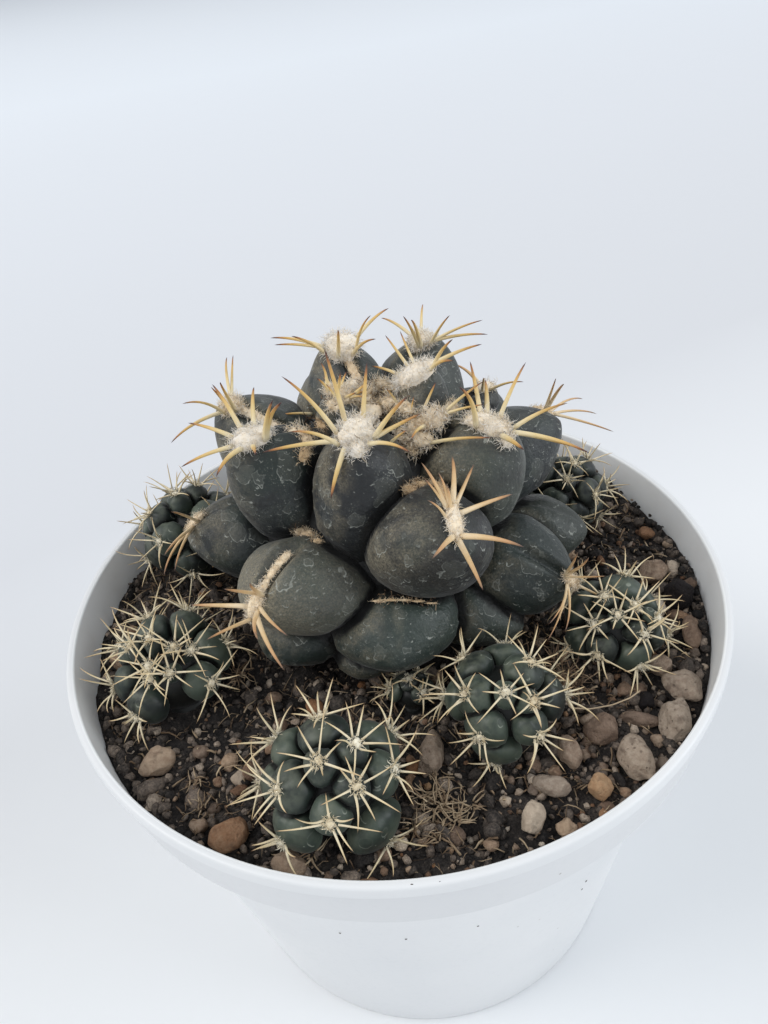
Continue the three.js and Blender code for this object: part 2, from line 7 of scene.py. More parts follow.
import bmesh
import bpy
import numpy as np
from mathutils import Euler, Matrix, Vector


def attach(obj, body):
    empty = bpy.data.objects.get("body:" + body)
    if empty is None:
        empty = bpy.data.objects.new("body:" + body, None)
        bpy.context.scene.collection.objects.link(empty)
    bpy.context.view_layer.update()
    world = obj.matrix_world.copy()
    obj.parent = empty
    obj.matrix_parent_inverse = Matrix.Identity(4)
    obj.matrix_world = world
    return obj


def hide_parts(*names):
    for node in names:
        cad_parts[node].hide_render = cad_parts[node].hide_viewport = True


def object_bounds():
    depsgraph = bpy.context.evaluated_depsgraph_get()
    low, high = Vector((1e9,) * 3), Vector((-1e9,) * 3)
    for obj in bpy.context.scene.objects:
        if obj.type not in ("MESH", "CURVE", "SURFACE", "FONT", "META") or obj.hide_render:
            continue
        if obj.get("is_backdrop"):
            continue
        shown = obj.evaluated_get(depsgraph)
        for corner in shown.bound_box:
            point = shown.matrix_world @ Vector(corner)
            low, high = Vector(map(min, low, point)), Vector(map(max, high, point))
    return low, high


MM = 0.001
PHOTO_UP = (0.135, 0.599, 0.789)  # up in the photograph
TILT = np.array(Euler((0.5, 0.7, 1.1)).to_matrix())  # keeps noise off the frame's axes

# The photograph's view
CAMERA = {
    "place": (0, -117.94, 200.34),
    "pitch": 37.246,  # degrees below the horizon
    "yaw": 0.215,
    "roll": -7.606,
    "focal_pixels": 770,
    "frame": (768, 1024),
    "sensor": 36,
}

POT = {
    "height": 95,
    "rim_radius": 65,
    "band_height": 13.5,
    "band_radius": 63.4,
    "band_step": 1.5,
    "shoulder_radius": 59,
    "foot_radius": 48,
    "foot_ring": 4.4,
    "foot_recess": 2,
    "wall": 1.5,
    "floor": 3.2,
    "drain_holes": 8,
    "drain_radius": 4,
    "drain_circle": 30,
    "sides": 208,
}

SOIL = {
    "level": 86,
    "swell": 0.45,
    "waves": (8, 13, 7, 17),
    "rings": 80,
    "sides": 216,
    "gap": 0.35,  # what the soil keeps from the pot's floor and step
    "lumps": ((1.2, 7, 11), (0.65, 2.1, 31)),  # depth, size and seed of its lumps
    "sink": 0.7,
    "bank": (1.6, 50, 61),  # how high it climbs the wall at the back right, from which reach to which
    "loose_reach": 61.2,  # how far out loose bits lie
    "pebbles": 20,
    "pebble_size": 1.9,
    "pebble_spread": 0.3,
    "pebble_room": 0.8,
    "pebble_zone": (31, 58),
}

HEART = np.array((0, 7, 99.0))
STEM = [(7, 57), (13, 66), (19, 78), (23, 88), (25, 98), (24, 110), (19, 119), (11, 127)]
STEM_TIP = (54, 129.5)
SHOULDER = 28
# A stem's skin takes a cleft value of 1, which paints it as the dark shade between tubercles.
HIDDEN_SKIN = {"along": 0, "cleft": 1, "tone": 0, "green": 0, "worn": 0}  # the looks of a stem's skin

# Tubercles with wool and spines: azimuth from the front towards +X, elevation, reach from the heart, width,
# height, the turn of the spine fan and the roll of the furrow about the axis
TUBERCLES = [
    (-8.5, 58, 40.5, 19, 23, 8),
    (-64, 50, 42, 17.5, 22, 20),
    (-85, 14, 40, 20, 19, 0),
    (-37, 18, 41, 24, 19, 12),
    (17, 33.5, 43, 23.5, 21, -6, 25),
    (58, 46, 41, 21, 23, 14),
    (96, 28, 42.5, 19, 21, 5, 60),
    (53, 4, 41, 22, 20, 30, -20),
    (-104, 47.5, 43, 21, 20, 25, 30),
    (-158, 72, 42, 18, 20, 10),
    (135, 60, 42, 20, 20, 0),
    (75, 71.5, 40.5, 14, 14, 18),
    (118, 38, 38, 15, 15, 7),
    (-52, 77, 38, 12, 12, 0),
    (50, 63, 36, 12, 12, 15),
    (128, 26, 40, 20, 20, 9),
    (160, 36, 41, 21, 21, 21),
    (-165, 38, 41, 21, 21, 3),
    (-128, 30, 40, 20, 20, 16),
    (136, 0, 37, 20, 16, 11),
    (166, 6, 39, 22, 18, 27),
    (-162, 7, 39, 22, 18, 6),
    (-131, 5, 38, 20, 17, 19),
]

# Old bare tubercles at the foot: azimuth, elevation, reach, width, height
BARE_TUBERCLES = [
    (-1, 2, 37, 26, 18),
    (38, -6, 36, 22, 17),
    (-42, -6, 36, 24, 15),
    (-14, -12, 33, 20, 14),
    (78, 2, 41, 20, 16),
    (111, 2, 32, 17, 14),
    (-108, 4, 31, 16, 14),
]

EGG = {"root": 4, "shift": 1.4, "keel": 0.4, "blunt": 0.62, "areole": 0.955}
TIP_AREOLES = {3: 0.985, 7: 0.99}  # areoles nearer the tip, as a share of the tubercle's length

# The furrow behind the areole, by tubercle: depth, half-width, and the share of the length where it starts
FURROWS = {
    0: (0.9, 0.9, 0.7),
    1: (1.1, 0.9, 0.7),
    3: (2.2, 1.3, 0.62),
    4: (1, 1, 0.6),
    5: (1.2, 0.9, 0.7),
    7: (2.2, 1, 0.66),
    8: (2.4, 1.4, 0.4),
    9: (2, 1.2, 0.5),
    10: (1.7, 1.2, 0.5),
}
FURROW = (0.9, 0.8, 0.5)
BARE_FURROW = (0.4, 0.8, 0.5)
CREASE = (2.6, 1.0)  # how near a neighbour the skin starts to draw in, and how deep the cleft gets

# How far a tubercle's root bends right, up and towards the viewer in the photograph, in millimetres
BENDS = {0: (-4.5, -9, 5), 3: (0, -8, 15)}

# How pale a tubercle's skin is, where the photograph shows it, from -1 to 1
TONES = {0: -1, 1: -0.4, 2: -0.9, 3: 0.7, 4: -1.2, 5: 1, 6: 0, 7: -0.5, 12: -1, 23: 1, 25: -1}
# Painted light: the corky tan is laid mostly on the left side of a tubercle, where the light falls.
WORN_AND_LIT = {0: 0, 1: 0, 3: 0.8, 4: 0.1, 5: 0.25}  # how much corky tan lies on a tubercle, mostly on its left

# Spine tips by their pixel in the photograph, for the tubercles that show theirs. A short, thin spine's size
# follows as a share of the full one.
SEEN_TIPS = {
    0: [(263, 458), (289, 432), (281, 376), (324, 348), (367, 362), (408, 396), (411, 453), (331, 499),
        (422, 413)],
    1: [(212, 384), (188, 423), (254, 387), (273, 400), (282, 402), (187, 482), (216, 477), (256, 455)],
    2: [(180, 586), (195, 583), (171, 512), (164, 556)],
    3: [(224, 589), (201, 606), (206, 640), (258, 640), (287, 671), (288, 636), (250, 583)],
    4: [(452, 456), (470, 471), (513, 494), (524, 547), (482, 592), (432, 559), (427, 500, 0.5),
        (424, 478, 0.62), (438, 472, 0.6), (421, 462, 0.75), (446, 484, 0.4)],
    5: [(526, 362), (568, 403), (470, 361), (485, 380), (459, 387), (571, 459), (524, 450), (587, 464)],
    6: [(556, 378), (564, 384), (583, 399), (597, 414), (610, 442)],
    7: [(606, 576), (589, 557), (578, 552), (613, 604), (545, 641), (565, 632), (548, 625)],
    8: [(227, 357), (235, 358), (211, 387), (220, 382), (182, 404), (172, 445)],
    9: [(270, 338), (274, 345), (291, 336), (371, 315), (389, 308), (376, 339), (338, 330)],
    10: [(423, 304), (403, 316), (411, 320), (381, 318), (450, 315), (483, 320), (489, 341)],
    11: [(385, 335), (400, 331), (371, 366), (453, 339), (454, 361), (501, 374)],
    12: [(484, 379), (524, 382)],
    14: [(484, 381), (438, 381), (497, 439), (411, 440)],
}

# Areoles of the offset heads by their pixel in the photograph
SEEN_AREOLES = [
    [(319, 716), (356, 743), (318, 761), (404, 720), (276, 790), (357, 787), (395, 769), (330, 824),
     (395, 847), (273, 735)],
    [(506, 692), (531, 661), (534, 701), (479, 738), (540, 737)],
    [(594, 624), (618, 615), (636, 605), (645, 634), (604, 595), (626, 575), (608, 679), (659, 618)],
    [(148, 638), (129, 646), (173, 646), (192, 649), (148, 666), (149, 679), (170, 673), (212, 683),
     (227, 642)],
    [(159, 541), (135, 567), (149, 513), (175, 493), (197, 484)],
    [(567, 479), (596, 494), (551, 506), (575, 463)],
    [(409, 678), (424, 693)],
]

# Wool pads: half-length along the furrow, half-width and height, then how brown they are, by tubercle
WOOL = {
    0: (6, 4, 3.1, 0.06),
    1: (4.8, 3.6, 2.7, 0.04),
    2: (3.4, 1.6, 1.2, 0.3),
    3: (4, 1.6, 1.3, 0.25),
    4: (5, 1.7, 1.5, 0.18),
    5: (5.4, 3, 2.5, 0.12),
    7: (2.8, 1.5, 1.1, 0.3),
    8: (3, 2.6, 1.8, 0.2),
    9: (4.2, 4.3, 3, 0.05),
    10: (3.2, 3.1, 2.4, 0.08),
    11: (5.4, 3.8, 2.6, 0.06),
    13: (3, 3.2, 2, 0.25),
    14: (3.6, 3.6, 2, 0.35),
}
YOUNG_WOOL = (3.2, 2.2, 1.8, 0.15)
OLD_WOOL = (3.2, 1.5, 1.1, 0.35)
PAD_FRONT = 4.8  # how far a pad reaches in front of its areole's middle

# Hairs on a pad: number, length and radius, by age, and the number where the photograph doesn't show the pad
OLD_HAIRS = (400, 1.3, 0.045)
YOUNG_HAIRS = (820, 1.9, 0.045)
UNSEEN_HAIRS = 140

# Wool strips in the furrow: start as a share of the length, half-width, height and how brown they are
WOOL_STRIPS = {
    3: (0.8, 1, 0.6, 0.32),
    4: (0.6, 1.3, 0.5, 0.55),
    8: (0.68, 1.2, 0.7, 0.22),
    9: (0.78, 1.1, 0.4, 0.35),
}

# Loose tufts on the old head: pixel, half-length across the view, half-width, height and how brown they are
TUFTS = [
    ((357, 448), 2.5, 2.6, 1.7, 0.04), ((507, 440), 1.7, 2, 1.3, 0.08), ((408, 408), 2.6, 2, 1.4, 0.26),
    ((297, 432), 2.4, 1.8, 1, 0.22), ((306, 441), 2, 2.2, 1, 0.36), ((303, 454), 1.5, 2.2, 0.8, 0.5),
    ((300, 531), 1.6, 1.2, 0.9, 0.4), ((308, 535), 2, 1.4, 1, 0.38), ((317, 541), 1.3, 0.9, 0.6, 0.5),
    ((409, 489), 2, 1.1, 0.6, 0.6), ((420, 484), 2, 1.1, 0.6, 0.55), ((380, 601), 2, 0.4, 0.25, 0.45),
    ((391, 600), 2, 0.4, 0.25, 0.5), ((404, 600), 2, 0.4, 0.25, 0.45),
    ((418, 601), 1.8, 0.35, 0.25, 0.5), ((431, 603), 1.6, 0.3, 0.25, 0.5),
    ((405, 434), 2.4, 2.2, 1.3, 0.28), ((413, 449), 1.8, 2.2, 0.9, 0.3), ((418, 427), 3, 3, 1.8, 0.2),
    ((434, 418), 3, 3, 1.9, 0.16), ((424, 439), 2.8, 2.2, 1.5, 0.22), ((408, 440), 2.4, 2.2, 1.4, 0.16),
    ((447, 408), 2.8, 2.4, 1.4, 0.24), ((352, 385), 2.6, 1.8, 1.4, 0.16),
    ((364, 390), 2.8, 2.2, 1.6, 0.2), ((377, 385), 2.8, 2.2, 1.6, 0.22),
    ((391, 390), 2.8, 2.2, 1.6, 0.2), ((377, 402), 2.8, 2.2, 1.5, 0.28),
    ((393, 404), 2.8, 2.2, 1.6, 0.28), ((334, 405), 2, 1.8, 1.1, 0.24),
    ((344, 398), 2.4, 1.9, 1.3, 0.16), ((322, 424), 1.4, 1.4, 0.7, 0.6),
]

# Where spines leave the pad, as shares of its half-length, half-width and height, how far that is from its
# middle at most, as a share of the way to the tip, and the share of its length where a spine bends most
SPINE_FOOT = (0.7, 0.8, 0.1)
FOOT_REACH = 0.35
KNEE = 0.58

OLD_BELOW = 35  # elevation under which a tubercle counts as old
FRONT_TUBERCLES = 15  # how many tubercles, from the first, have the finest skin
FRONT_SKIN, BACK_SKIN, OFFSET_SKIN = (42, 46), (28, 34), (18, 26)  # rings and sides of a tubercle's skin
SLIM_SPINES = {2: 0.8, 3: 0.9, 6: 0.8, 7: 0.62, 8: 0.8, 9: 0.8, 10: 0.8, 12: 0.7}  # thinner ones, by tubercle
SHORT_SPINED = (12, 13)  # tubercles with short spines
HIDDEN_FROM = 15  # the first of the tubercles behind, whose spines the photograph doesn't show
SPINE = {
    "count": 9,
    "length": 13,
    "length_spread": 0.16,
    "young_scale": 0.5,  # a spine's scale is this and its tubercle's width over the full width, 1 at most
    "full_width": 40,
    "short_share": 0.6,
    "hidden_share": 0.8,
    "slim_width": 17,  # the tubercle's width under which spines are thinner
    "thin_share": 0.2,
    "turn_spread": 7,
    "rise": 30,
    "rise_spread": 12,
    "bow": (0.055, 0.045),  # how far the middle stands out, as a share of the length, and its spread
    "steep": -0.25,  # the rise under which a seen spine is laid along the skin
    "stand": 2.6,  # how far the tip of such a spine stands before the skin
    "radius": 0.47,
    "steps": 12,
    "sides": 8,
}

# Spines that cross in the crown's wool: pixels of foot and tip, how much nearer than the foot the tip is,
# and the thickness as a share of the full one
CROWN_SPINES = [
    ((430, 443), (493, 438), 7, 0.9),
    ((312, 414), (279, 415), 2, 0.7),
    ((370, 406), (410, 390), 1.5, 0.65),
    ((366, 411), (403, 397), 2, 0.6),
    ((358, 402), (348, 389), 2, 0.5),
    ((367, 408), (367, 394), 2, 0.4),
    ((424, 409), (436, 382), 2, 0.65),
    ((391, 442), (407, 430), 2, 0.7),
    ((336, 398), (326, 384), 1.5, 0.5),
    ((376, 394), (412, 387), 1, 0.5),
    ((398, 404), (386, 388), 1.5, 0.45),
    ((410, 415), (414, 396), 2, 0.45),
]

# Offset heads: centre, radius, sense of the spiral, its twist, the axis's lean, the way it leans, how far the
# spiral falls from one tubercle to the next as a share of the radius, and number of tubercles
OFFSETS = [
    (-13.1, -45.7, 92.8, 12.1, -1, 105, 27, -11, 0.085, 16),
    (16.5, -34.2, 92.6, 10.4, -1, 238, 17, 15, 0.098, 14),
    (40.3, -18.8, 91.2, 9.8, 1, 264, 28, -13, 0.085, 15),
    (-42.6, -16.1, 92, 11.7, -1, 87, 28, -128, 0.085, 16),
    (-43.2, 22.6, 95, 11.5, 1, 146, 6, -62, 0.085, 16),
    (42, 20.7, 93.4, 9.2, 1, 114, 3, 131, 0.118, 13),
    (1.1, -26.2, 88.2, 4.5, 1, 160, 35, 131, 0.12, 9),
]

HEAD_TONES = {0: 0.3, 5: -0.9}  # how much paler an offset head's skin is than its neighbours'

OFFSET = {
    "full_radius": 12.1,
    "golden_turn": 137.508,
    "first_step": 0.35,
    "core": 0.62,
    "root": 0.3,
    "width": 2.9,
    "snug": 1.04,  # width as a share of the arc to the nearest neighbour
    "apart": 0.78,  # least arc from a seen tubercle to a ruled one, as a share of the pitch
    "tip_above": 1,
    "plug_radius": 0.4,
    "plug_length": 8,
    "wool": (1.5, 1.5, 1.15, 0.15),
    "wool_sunk": 0.2,
    "hairs": 70,
    "furrow": (0.25, 0.6, 0.5),
    "crease": (1.2, 0.5),
    "core_ring": (-55, -30, -5, 20, 45, 70),  # where the core's outline has its rings, in degrees
}

OFFSET_SPINE = {
    "count": 8,
    "length": 6.4,
    "length_spread": 0.28,
    "turn_spread": 14,
    "rise": 26,
    "rise_spread": 16,
    "bow": (0.05, 0.06),
    "radius": 0.2,
    "steps": 7,
    "sides": 5,
}

# Stones: kind, x, y, widths along and across, height, turn, how far the middle lies above the soil's level,
# and how orange and how pale the stone is
STONES = [
    ("pumice", 35.9, -45.2, 8.4, 5, 5, -80, 1.8, 0.25, 0.72),
    ("pumice", 44.6, -39, 8.8, 4.8, 5.6, 72, 1.9, 0.2, 0.72),
    ("pumice", 48.9, -32, 6.8, 6.2, 5.2, -37, 1.6, 0.2, 0.66),
    ("gravel", 46.9, -26.8, 4.4, 4.2, 4, 0, 1.2, 0.25, 0.6),
    ("gravel", 25.8, -41.9, 5.4, 3.4, 4.2, 86, 1.3, 0.3, 0.6),
    ("gravel", 16.9, -52.8, 5.2, 3.9, 4.2, 63, 1.3, 0.3, 0.92),
    ("gravel", 39, -37.2, 6.2, 2.8, 2.8, -20, 1.2, 0.2, 0.42),
    ("pumice", 2.6, -38.6, 4.4, 8.2, 5.2, -14, 1.2, 0.25, 0.64),
    ("gravel", -45.6, -32.6, 6.2, 5, 4.4, 35, 1, 0.45, 0.72),
    ("gravel", -31.2, -48.4, 6, 5, 4.8, 18, 1.2, 0.7, 0.54),
    ("gravel", -21.6, -55, 5, 4.2, 4, -12, 1, 0.4, 0.66),
    ("gravel", -56.2, -6.6, 5.2, 6, 5, 8, 1.4, 0.5, 0.62),
    ("gravel", 54.6, -2.2, 6.4, 5, 4.6, 80, 1.2, 0.35, 0.62),
    ("gravel", 50.8, -11.6, 5.4, 4.6, 4, 64, 1, 0.2, 0.95),
    ("gravel", 55.4, -19.6, 7.6, 3.4, 3.4, 70, 1.4, 0.3, 0.5),
    ("lump", 56.4, -10.8, 6, 5.6, 7, 0, 2.6, 0.05, -0.04),
    ("gravel", 21.5, -47.6, 5.6, 3, 3, -26, 1.1, 0.15, 0.64),
    ("gravel", 28.8, -48.9, 3.6, 4, 3.6, 0, 1.2, 0.9, 0.74),
    ("gravel", 32.6, -38.2, 5.8, 5.2, 4.2, 10, 1.1, 0.25, 0.46),
]
OFFSET_SPOTS = [(x, y, radius) for x, y, _, radius, *_ in OFFSETS]
STONE_SPOTS = [(x, y, length, width) for _, x, y, length, width, *_ in STONES]
STONE_SLOTS = {"pumice": "pumice", "gravel": "gravel", "lump": "dark_stone"}
PIT_MOUTH = 1.38  # how wide a stone's pit in the soil is, as a share of the stone

# Small pebbles by their pixel in the photograph: half-width, how orange and how pale each is
SEEN_PEBBLES = [
    ((566, 828), 1.75, 0.55, 0.78), ((585, 753), 1.15, 0.3, 0.6), ((603, 765), 1, 0.2, 0.5),
    ((588, 724), 1.35, 0.3, 0.62), ((587, 741), 1, 0.25, 0.55), ((594, 714), 1.2, 0.2, 0.5),
    ((555, 770), 1.2, 0.45, 0.6), ((534, 764), 1.4, 0.3, 0.5), ((583, 779), 0.65, 0, 1),
    ((519, 792), 0.8, 0.25, 0.7), ((534, 789), 1.2, 0.1, 0.45), ((587, 802), 0.6, 0.2, 0.85),
    ((690, 630), 0.7, 0.5, 0.9), ((705, 666), 0.8, 0.3, 0.8), ((491, 844), 1.3, 0.45, 0.62),
    ((506, 803), 1.1, 0.3, 0.85), ((230, 761), 2, 0.55, 0.72), ((241, 780), 1.7, 0.3, 0.8),
    ((220, 759), 1, 0.8, 0.6), ((217, 780), 1.2, 0.5, 0.55), ((199, 827), 1.6, 0.35, 0.62),
    ((169, 757), 1.2, 0.5, 0.65), ((130, 749), 0.8, 0.2, 0.85), ((263, 787), 1.5, 0.65, 0.6),
    ((271, 750), 1.2, 0.5, 0.55), ((361, 682), 1.1, 0.9, 0.4), ((203, 594), 1.3, 0.9, 0.45),
    ((645, 703), 1.9, 0.05, -0.05), ((658, 742), 1.4, 0.35, 0.66), ((664, 761), 1.6, 0.1, 0.55),
    ((612, 778), 0.9, 0.3, 0.6), ((625, 792), 1.1, 0.5, 0.6),
]

# Specks of soil on the pot's front by their pixel in the photograph, with half-widths
POT_SPECKS = [
    ((308, 889), 0.35), ((412, 885), 0.3), ((440, 882), 0.22), ((436, 893), 0.4), ((340, 933), 0.22),
    ((406, 939), 0.22), ((478, 926), 0.22), ((586, 881), 0.3), ((582, 889), 0.25),
]

# Clusters of dead spines: pixel, height over the soil, length, number, and how pale they are
DRY_STARS = [
    ((437, 806), 1.5, 5.5, 22, 0.75), ((424, 797), 1.5, 4.5, 20, 0.7), ((456, 822), 1.2, 4.5, 22, 0.72),
    ((436, 838), 1, 4.2, 22, 0.66), ((414, 826), 1, 3.6, 16, 0.62), ((470, 806), 1, 3.4, 14, 0.7),
    ((204, 806), 1, 2.6, 14, 0.7), ((192, 782), 1, 2.6, 12, 0.66), ((556, 662), 5, 4.5, 18, 0.42),
    ((446, 792), 1.2, 4, 12, 0.6), ((463, 660), 6, 3.2, 14, 0.6), ((567, 677), 4, 5, 24, 0.45),
    ((577, 686), 3, 4.5, 20, 0.4), ((236, 678), 4, 4, 16, 0.6), ((246, 672), 3, 3, 12, 0.5),
    ((312, 853), 1.5, 4, 14, 0.75), ((532, 640), 5, 4, 12, 0.5), ((385, 690), 3, 4, 14, 0.65),
    ((152, 708), 2.5, 5, 12, 0.6),
]

# A long hair through pixels, each with its height over the soil
LONG_HAIR = [(563, 690, 6), (570, 708, 3.5), (590, 709, 3), (612, 705, 3), (630, 698, 3.4), (641, 690, 4)]

# Crumbs on the bed: number, least and greatest half-size, fineness, lift as a share of the size, and seed
CRUMBS = [(6000, 0.25, 1.0, 1, 0.4, 3), (600, 0.8, 1.8, 2, 0.35, 9)]
WALL_CRUMBS = {"count": 700, "least": 0.3, "spread": 1.1, "bank": 1.6}

# Grit on the bed: number, least and greatest half-size, fineness and seed
GRIT = [(1700, 0.3, 0.8, 1, 5), (330, 0.8, 1.9, 2, 6)]
FIBRES = {"count": 2900, "steps": 4, "least": 1.2, "spread": 5.5, "bend": 0.28, "reach": 60.6}
SHREDS = {"count": 420, "steps": 3, "reach": 13, "rise": 2.5, "dome": 0.03}

# Room that a spine keeps from what it doesn't grow on
CLEAR = {
    "soil": 0.9,
    "pot": 0.9,
    "tubercle": 0.35,
    "box": 64.3,
    "lifts": (0, 12, 24, 38),
    "turns": (0, 10, -10),
}

# Surroundings, in metres and watts: place, power and colour of each light, and colour and strength of the sky
LIGHTS = {
    "window": ((-5.2, -0.6, 5.4), 216, (1.0, 0.985, 0.96)),
    "fill": ((5.6, -1.2, 3.4), 165, (0.92, 0.965, 1.0)),
}
LIGHT_SIZE = 4.4
LIT_PLACE = (0, 0, 0.1)
SKY = ((0.93, 0.96, 1.0, 1), 0.7)
FLOOR_REACH = 12.0

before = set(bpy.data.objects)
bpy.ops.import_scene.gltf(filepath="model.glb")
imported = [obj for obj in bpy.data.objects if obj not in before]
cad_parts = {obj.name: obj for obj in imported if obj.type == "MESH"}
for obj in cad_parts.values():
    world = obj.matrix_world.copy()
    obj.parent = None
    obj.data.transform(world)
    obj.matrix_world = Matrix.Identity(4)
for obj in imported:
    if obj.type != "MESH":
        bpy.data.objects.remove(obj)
cad_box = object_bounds()


# Numbers and directions


def unit(vectors):
    """The ways of vectors, each with a length of one."""
    return vectors / np.maximum(np.linalg.norm(vectors, axis=-1, keepdims=True), 1e-9)


def jitter(a, b):
    """A repeatable value between -1 and 1 for two whole numbers."""
    wave = np.sin(a * 12.9898 + b * 78.233) * 43758.5453
    return 2 * (wave - np.floor(wave)) - 1


def heading(azimuth, elevation):
    """A unit vector from an azimuth, 0 at the front and positive towards +X, and an elevation."""
    a, e = np.radians((azimuth, elevation))
    return np.array((np.sin(a) * np.cos(e), -np.cos(a) * np.cos(e), np.sin(e)))


def polar(reach, angle):
    """The x and y of a distance and an angle."""
    return reach * np.cos(angle), reach * np.sin(angle)


def turned_about(vector, axis, angle):
    """The vector turned by an angle about a unit axis."""
    along = axis * (axis @ vector)
    return along + (vector - along) * np.cos(angle) + np.cross(axis, vector) * np.sin(angle)


def smooth(values, low, high):
    """0 below low, 1 above high, and an even curve between them."""
    share = np.clip((values - low) / (high - low), 0, 1)
    return share * share * (3 - 2 * share)


def curve(start, knee, end, share):
    """Points at shares of a curve that is drawn from its two ends towards a knee."""
    return (1 - share) ** 2 * start + 2 * share * (1 - share) * knee + share**2 * end


def lattice(x, y, z, seed):
    """A value between -1 and 1 for whole-number places."""
    mixed = (x * 374761393 + y * 668265263 + z * 1440662683 + seed * 974634777) & 0xFFFFFFFF
    mixed = ((mixed ^ (mixed >> 13)) * 1274126177) & 0xFFFFFFFF
    return (mixed ^ (mixed >> 16)) / 0x7FFFFFFF - 1


def noise(points, size, seed=0):
    """Even noise between -1 and 1, with features of the given size."""
    scaled = np.asarray(points, float) @ TILT / size
    cell = np.floor(scaled).astype(np.int64)
    part = scaled - cell
    part = part * part * (3 - 2 * part)
    total = 0
    for corner in range(8):
        step = np.array([(corner >> k) & 1 for k in range(3)])
        weight = np.prod(np.where(step, part, 1 - part), axis=-1)
        total = total + weight * lattice(*np.moveaxis(cell + step, -1, 0), seed)
    return total


def rough(points, size, seed=0, octaves=3):
    """Noise with finer noise on it."""
    return sum(noise(points, size / 2**k, seed + k) / 2**k for k in range(octaves))


# Meshes


class Heap:
    """Small forms gathered into one mesh, with named values at their points."""

    def __init__(self):
        self.points = []
        self.faces = []
        self.values = {}
        self.count = 0

    def add(self, points, faces, **values):
        """Adds a form: points, groups of faces and named values."""
        points = np.asarray(points, float).reshape(-1, 3)
        self.points.append(points)
        self.faces += [np.asarray(group) + self.count for group in faces if len(group)]
        for name, value in values.items():
            spread = np.broadcast_to(np.asarray(value, float).ravel(), (len(points),))
            self.values.setdefault(name, []).append(spread)
        self.count += len(points)

    def mesh(self, name):
        """All the forms as one mesh."""
        mesh = bpy.data.meshes.new(name)
        points = np.concatenate(self.points) * MM
        corners = np.concatenate([group.ravel() for group in self.faces])
        sizes = np.concatenate([np.full(len(group), group.shape[1]) for group in self.faces])
        mesh.vertices.add(len(points))
        mesh.vertices.foreach_set("co", points.astype(np.float32).ravel())
        mesh.loops.add(len(corners))
        mesh.loops.foreach_set("vertex_index", corners.astype(np.int32))
        mesh.polygons.add(len(sizes))
        mesh.polygons.foreach_set("loop_start", (np.cumsum(sizes) - sizes).astype(np.int32))
        mesh.update(calc_edges=True)
        for key, parts in self.values.items():
            attribute = mesh.attributes.new(key, "FLOAT", "POINT")
            attribute.data.foreach_set("value", np.concatenate(parts).astype(np.float32))
        mesh.validate()
        mesh.shade_smooth()
        return mesh


def piece(name, heap, material, nodes=(), slot=None):
    """A finished piece of the part."""
    made = bpy.data.objects.new(name, heap.mesh(name))
    bpy.context.scene.collection.objects.link(made)
    made.data.materials.append(material)
    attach(made, "root")
    if nodes:
        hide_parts(*nodes)
    return made


def ring_faces(rings, sides):
    """Quads between neighbouring rings, facing out where a ring runs counter-clockwise about the way on."""
    ring, side = np.meshgrid(np.arange(rings - 1), np.arange(sides), indexing="ij")
    here, ahead = ring * sides + side, ring * sides + (side + 1) % sides
    return np.stack((here, ahead, ahead + sides, here + sides), axis=-1).reshape(-1, 4)


def closed_faces(rings, sides):
    """Faces of a skin of rings with a point at its start and a point at its end."""
    side = np.arange(sides)
    ahead = (side + 1) % sides
    first, last = rings * sides, rings * sides + 1
    start = np.stack((np.full(sides, first), ahead, side), axis=-1)
    top = (rings - 1) * sides
    end = np.stack((np.full(sides, last), top + side, top + ahead), axis=-1)
    return [ring_faces(rings, sides), np.concatenate((start, end))]


def on_circle(reach, z, sides):
    """Points on a circle about the vertical through the origin."""
    angle = 2 * np.pi * np.arange(sides) / sides
    return np.stack((*polar(reach, angle), np.full(sides, z)), axis=-1)


def skin(rings, start, end):
    """Points and faces of a closed skin over rings of points."""
    count, sides = rings.shape[:2]
    return np.concatenate((rings.reshape(-1, 3), [start], [end])), closed_faces(count, sides)


def tubes(lines, radii, sides):
    """Closed tapering tubes round centre lines that all have the same number of points."""
    count, steps = lines.shape[:2]
    ways = unit(np.gradient(lines, axis=1))
    spare = np.where(np.abs(ways[:, :1, 2:]) < 0.8, (0, 0, 1.0), (1.0, 0, 0))
    u = unit(np.cross(spare, ways))
    v = np.cross(ways, u)
    angle = 2 * np.pi * np.arange(sides) / sides
    cos, sin = np.cos(angle)[:, None], np.sin(angle)[:, None]
    rings = steps - 1
    around = u[:, :rings, None] * cos + v[:, :rings, None] * sin
    body = lines[:, :rings, None] + radii[:, :rings, None, None] * around
    points = np.concatenate((body.reshape(count, -1, 3), lines[:, :1], lines[:, -1:]), axis=1)
    offset = (np.arange(count) * points.shape[1])[:, None, None]
    faces = [(group[None] + offset).reshape(-1, group.shape[1]) for group in closed_faces(rings, sides)]
    share = np.concatenate((np.repeat(np.linspace(0, 1, steps)[:rings], sides), (0, 1)))
    return points, faces, share


def tapers(rng, lines, least, most, end):
    """Radii along tubes, each with its own thickness at the root and the same share of it at the end."""
    return rng.uniform(least, most, (len(lines), 1)) * np.linspace(1, end, lines.shape[1])


def repeated(values, count, size):
    """Named values for a count of forms, each repeated for all the points of its form."""
    return {key: np.repeat(np.broadcast_to(value, count), size) for key, value in values.items()}


def add_tubes(heap, lines, radii, sides, **values):
    """Tubes with their share of the length in "along", and one of each other value for each tube."""
    points, faces, share = tubes(lines, radii, sides)
    each = repeated(values, len(lines), points.shape[1])
    heap.add(points, faces, along=np.tile(share, len(lines)), **each)


def ball(level):
    """Points on a unit ball, and its triangles."""
    shape = bmesh.new()
    bmesh.ops.create_icosphere(shape, subdivisions=level, radius=1)
    points = np.array([vertex.co for vertex in shape.verts])
    faces = np.array([[vertex.index for vertex in face.verts] for face in shape.faces])
    shape.free()
    return points, faces


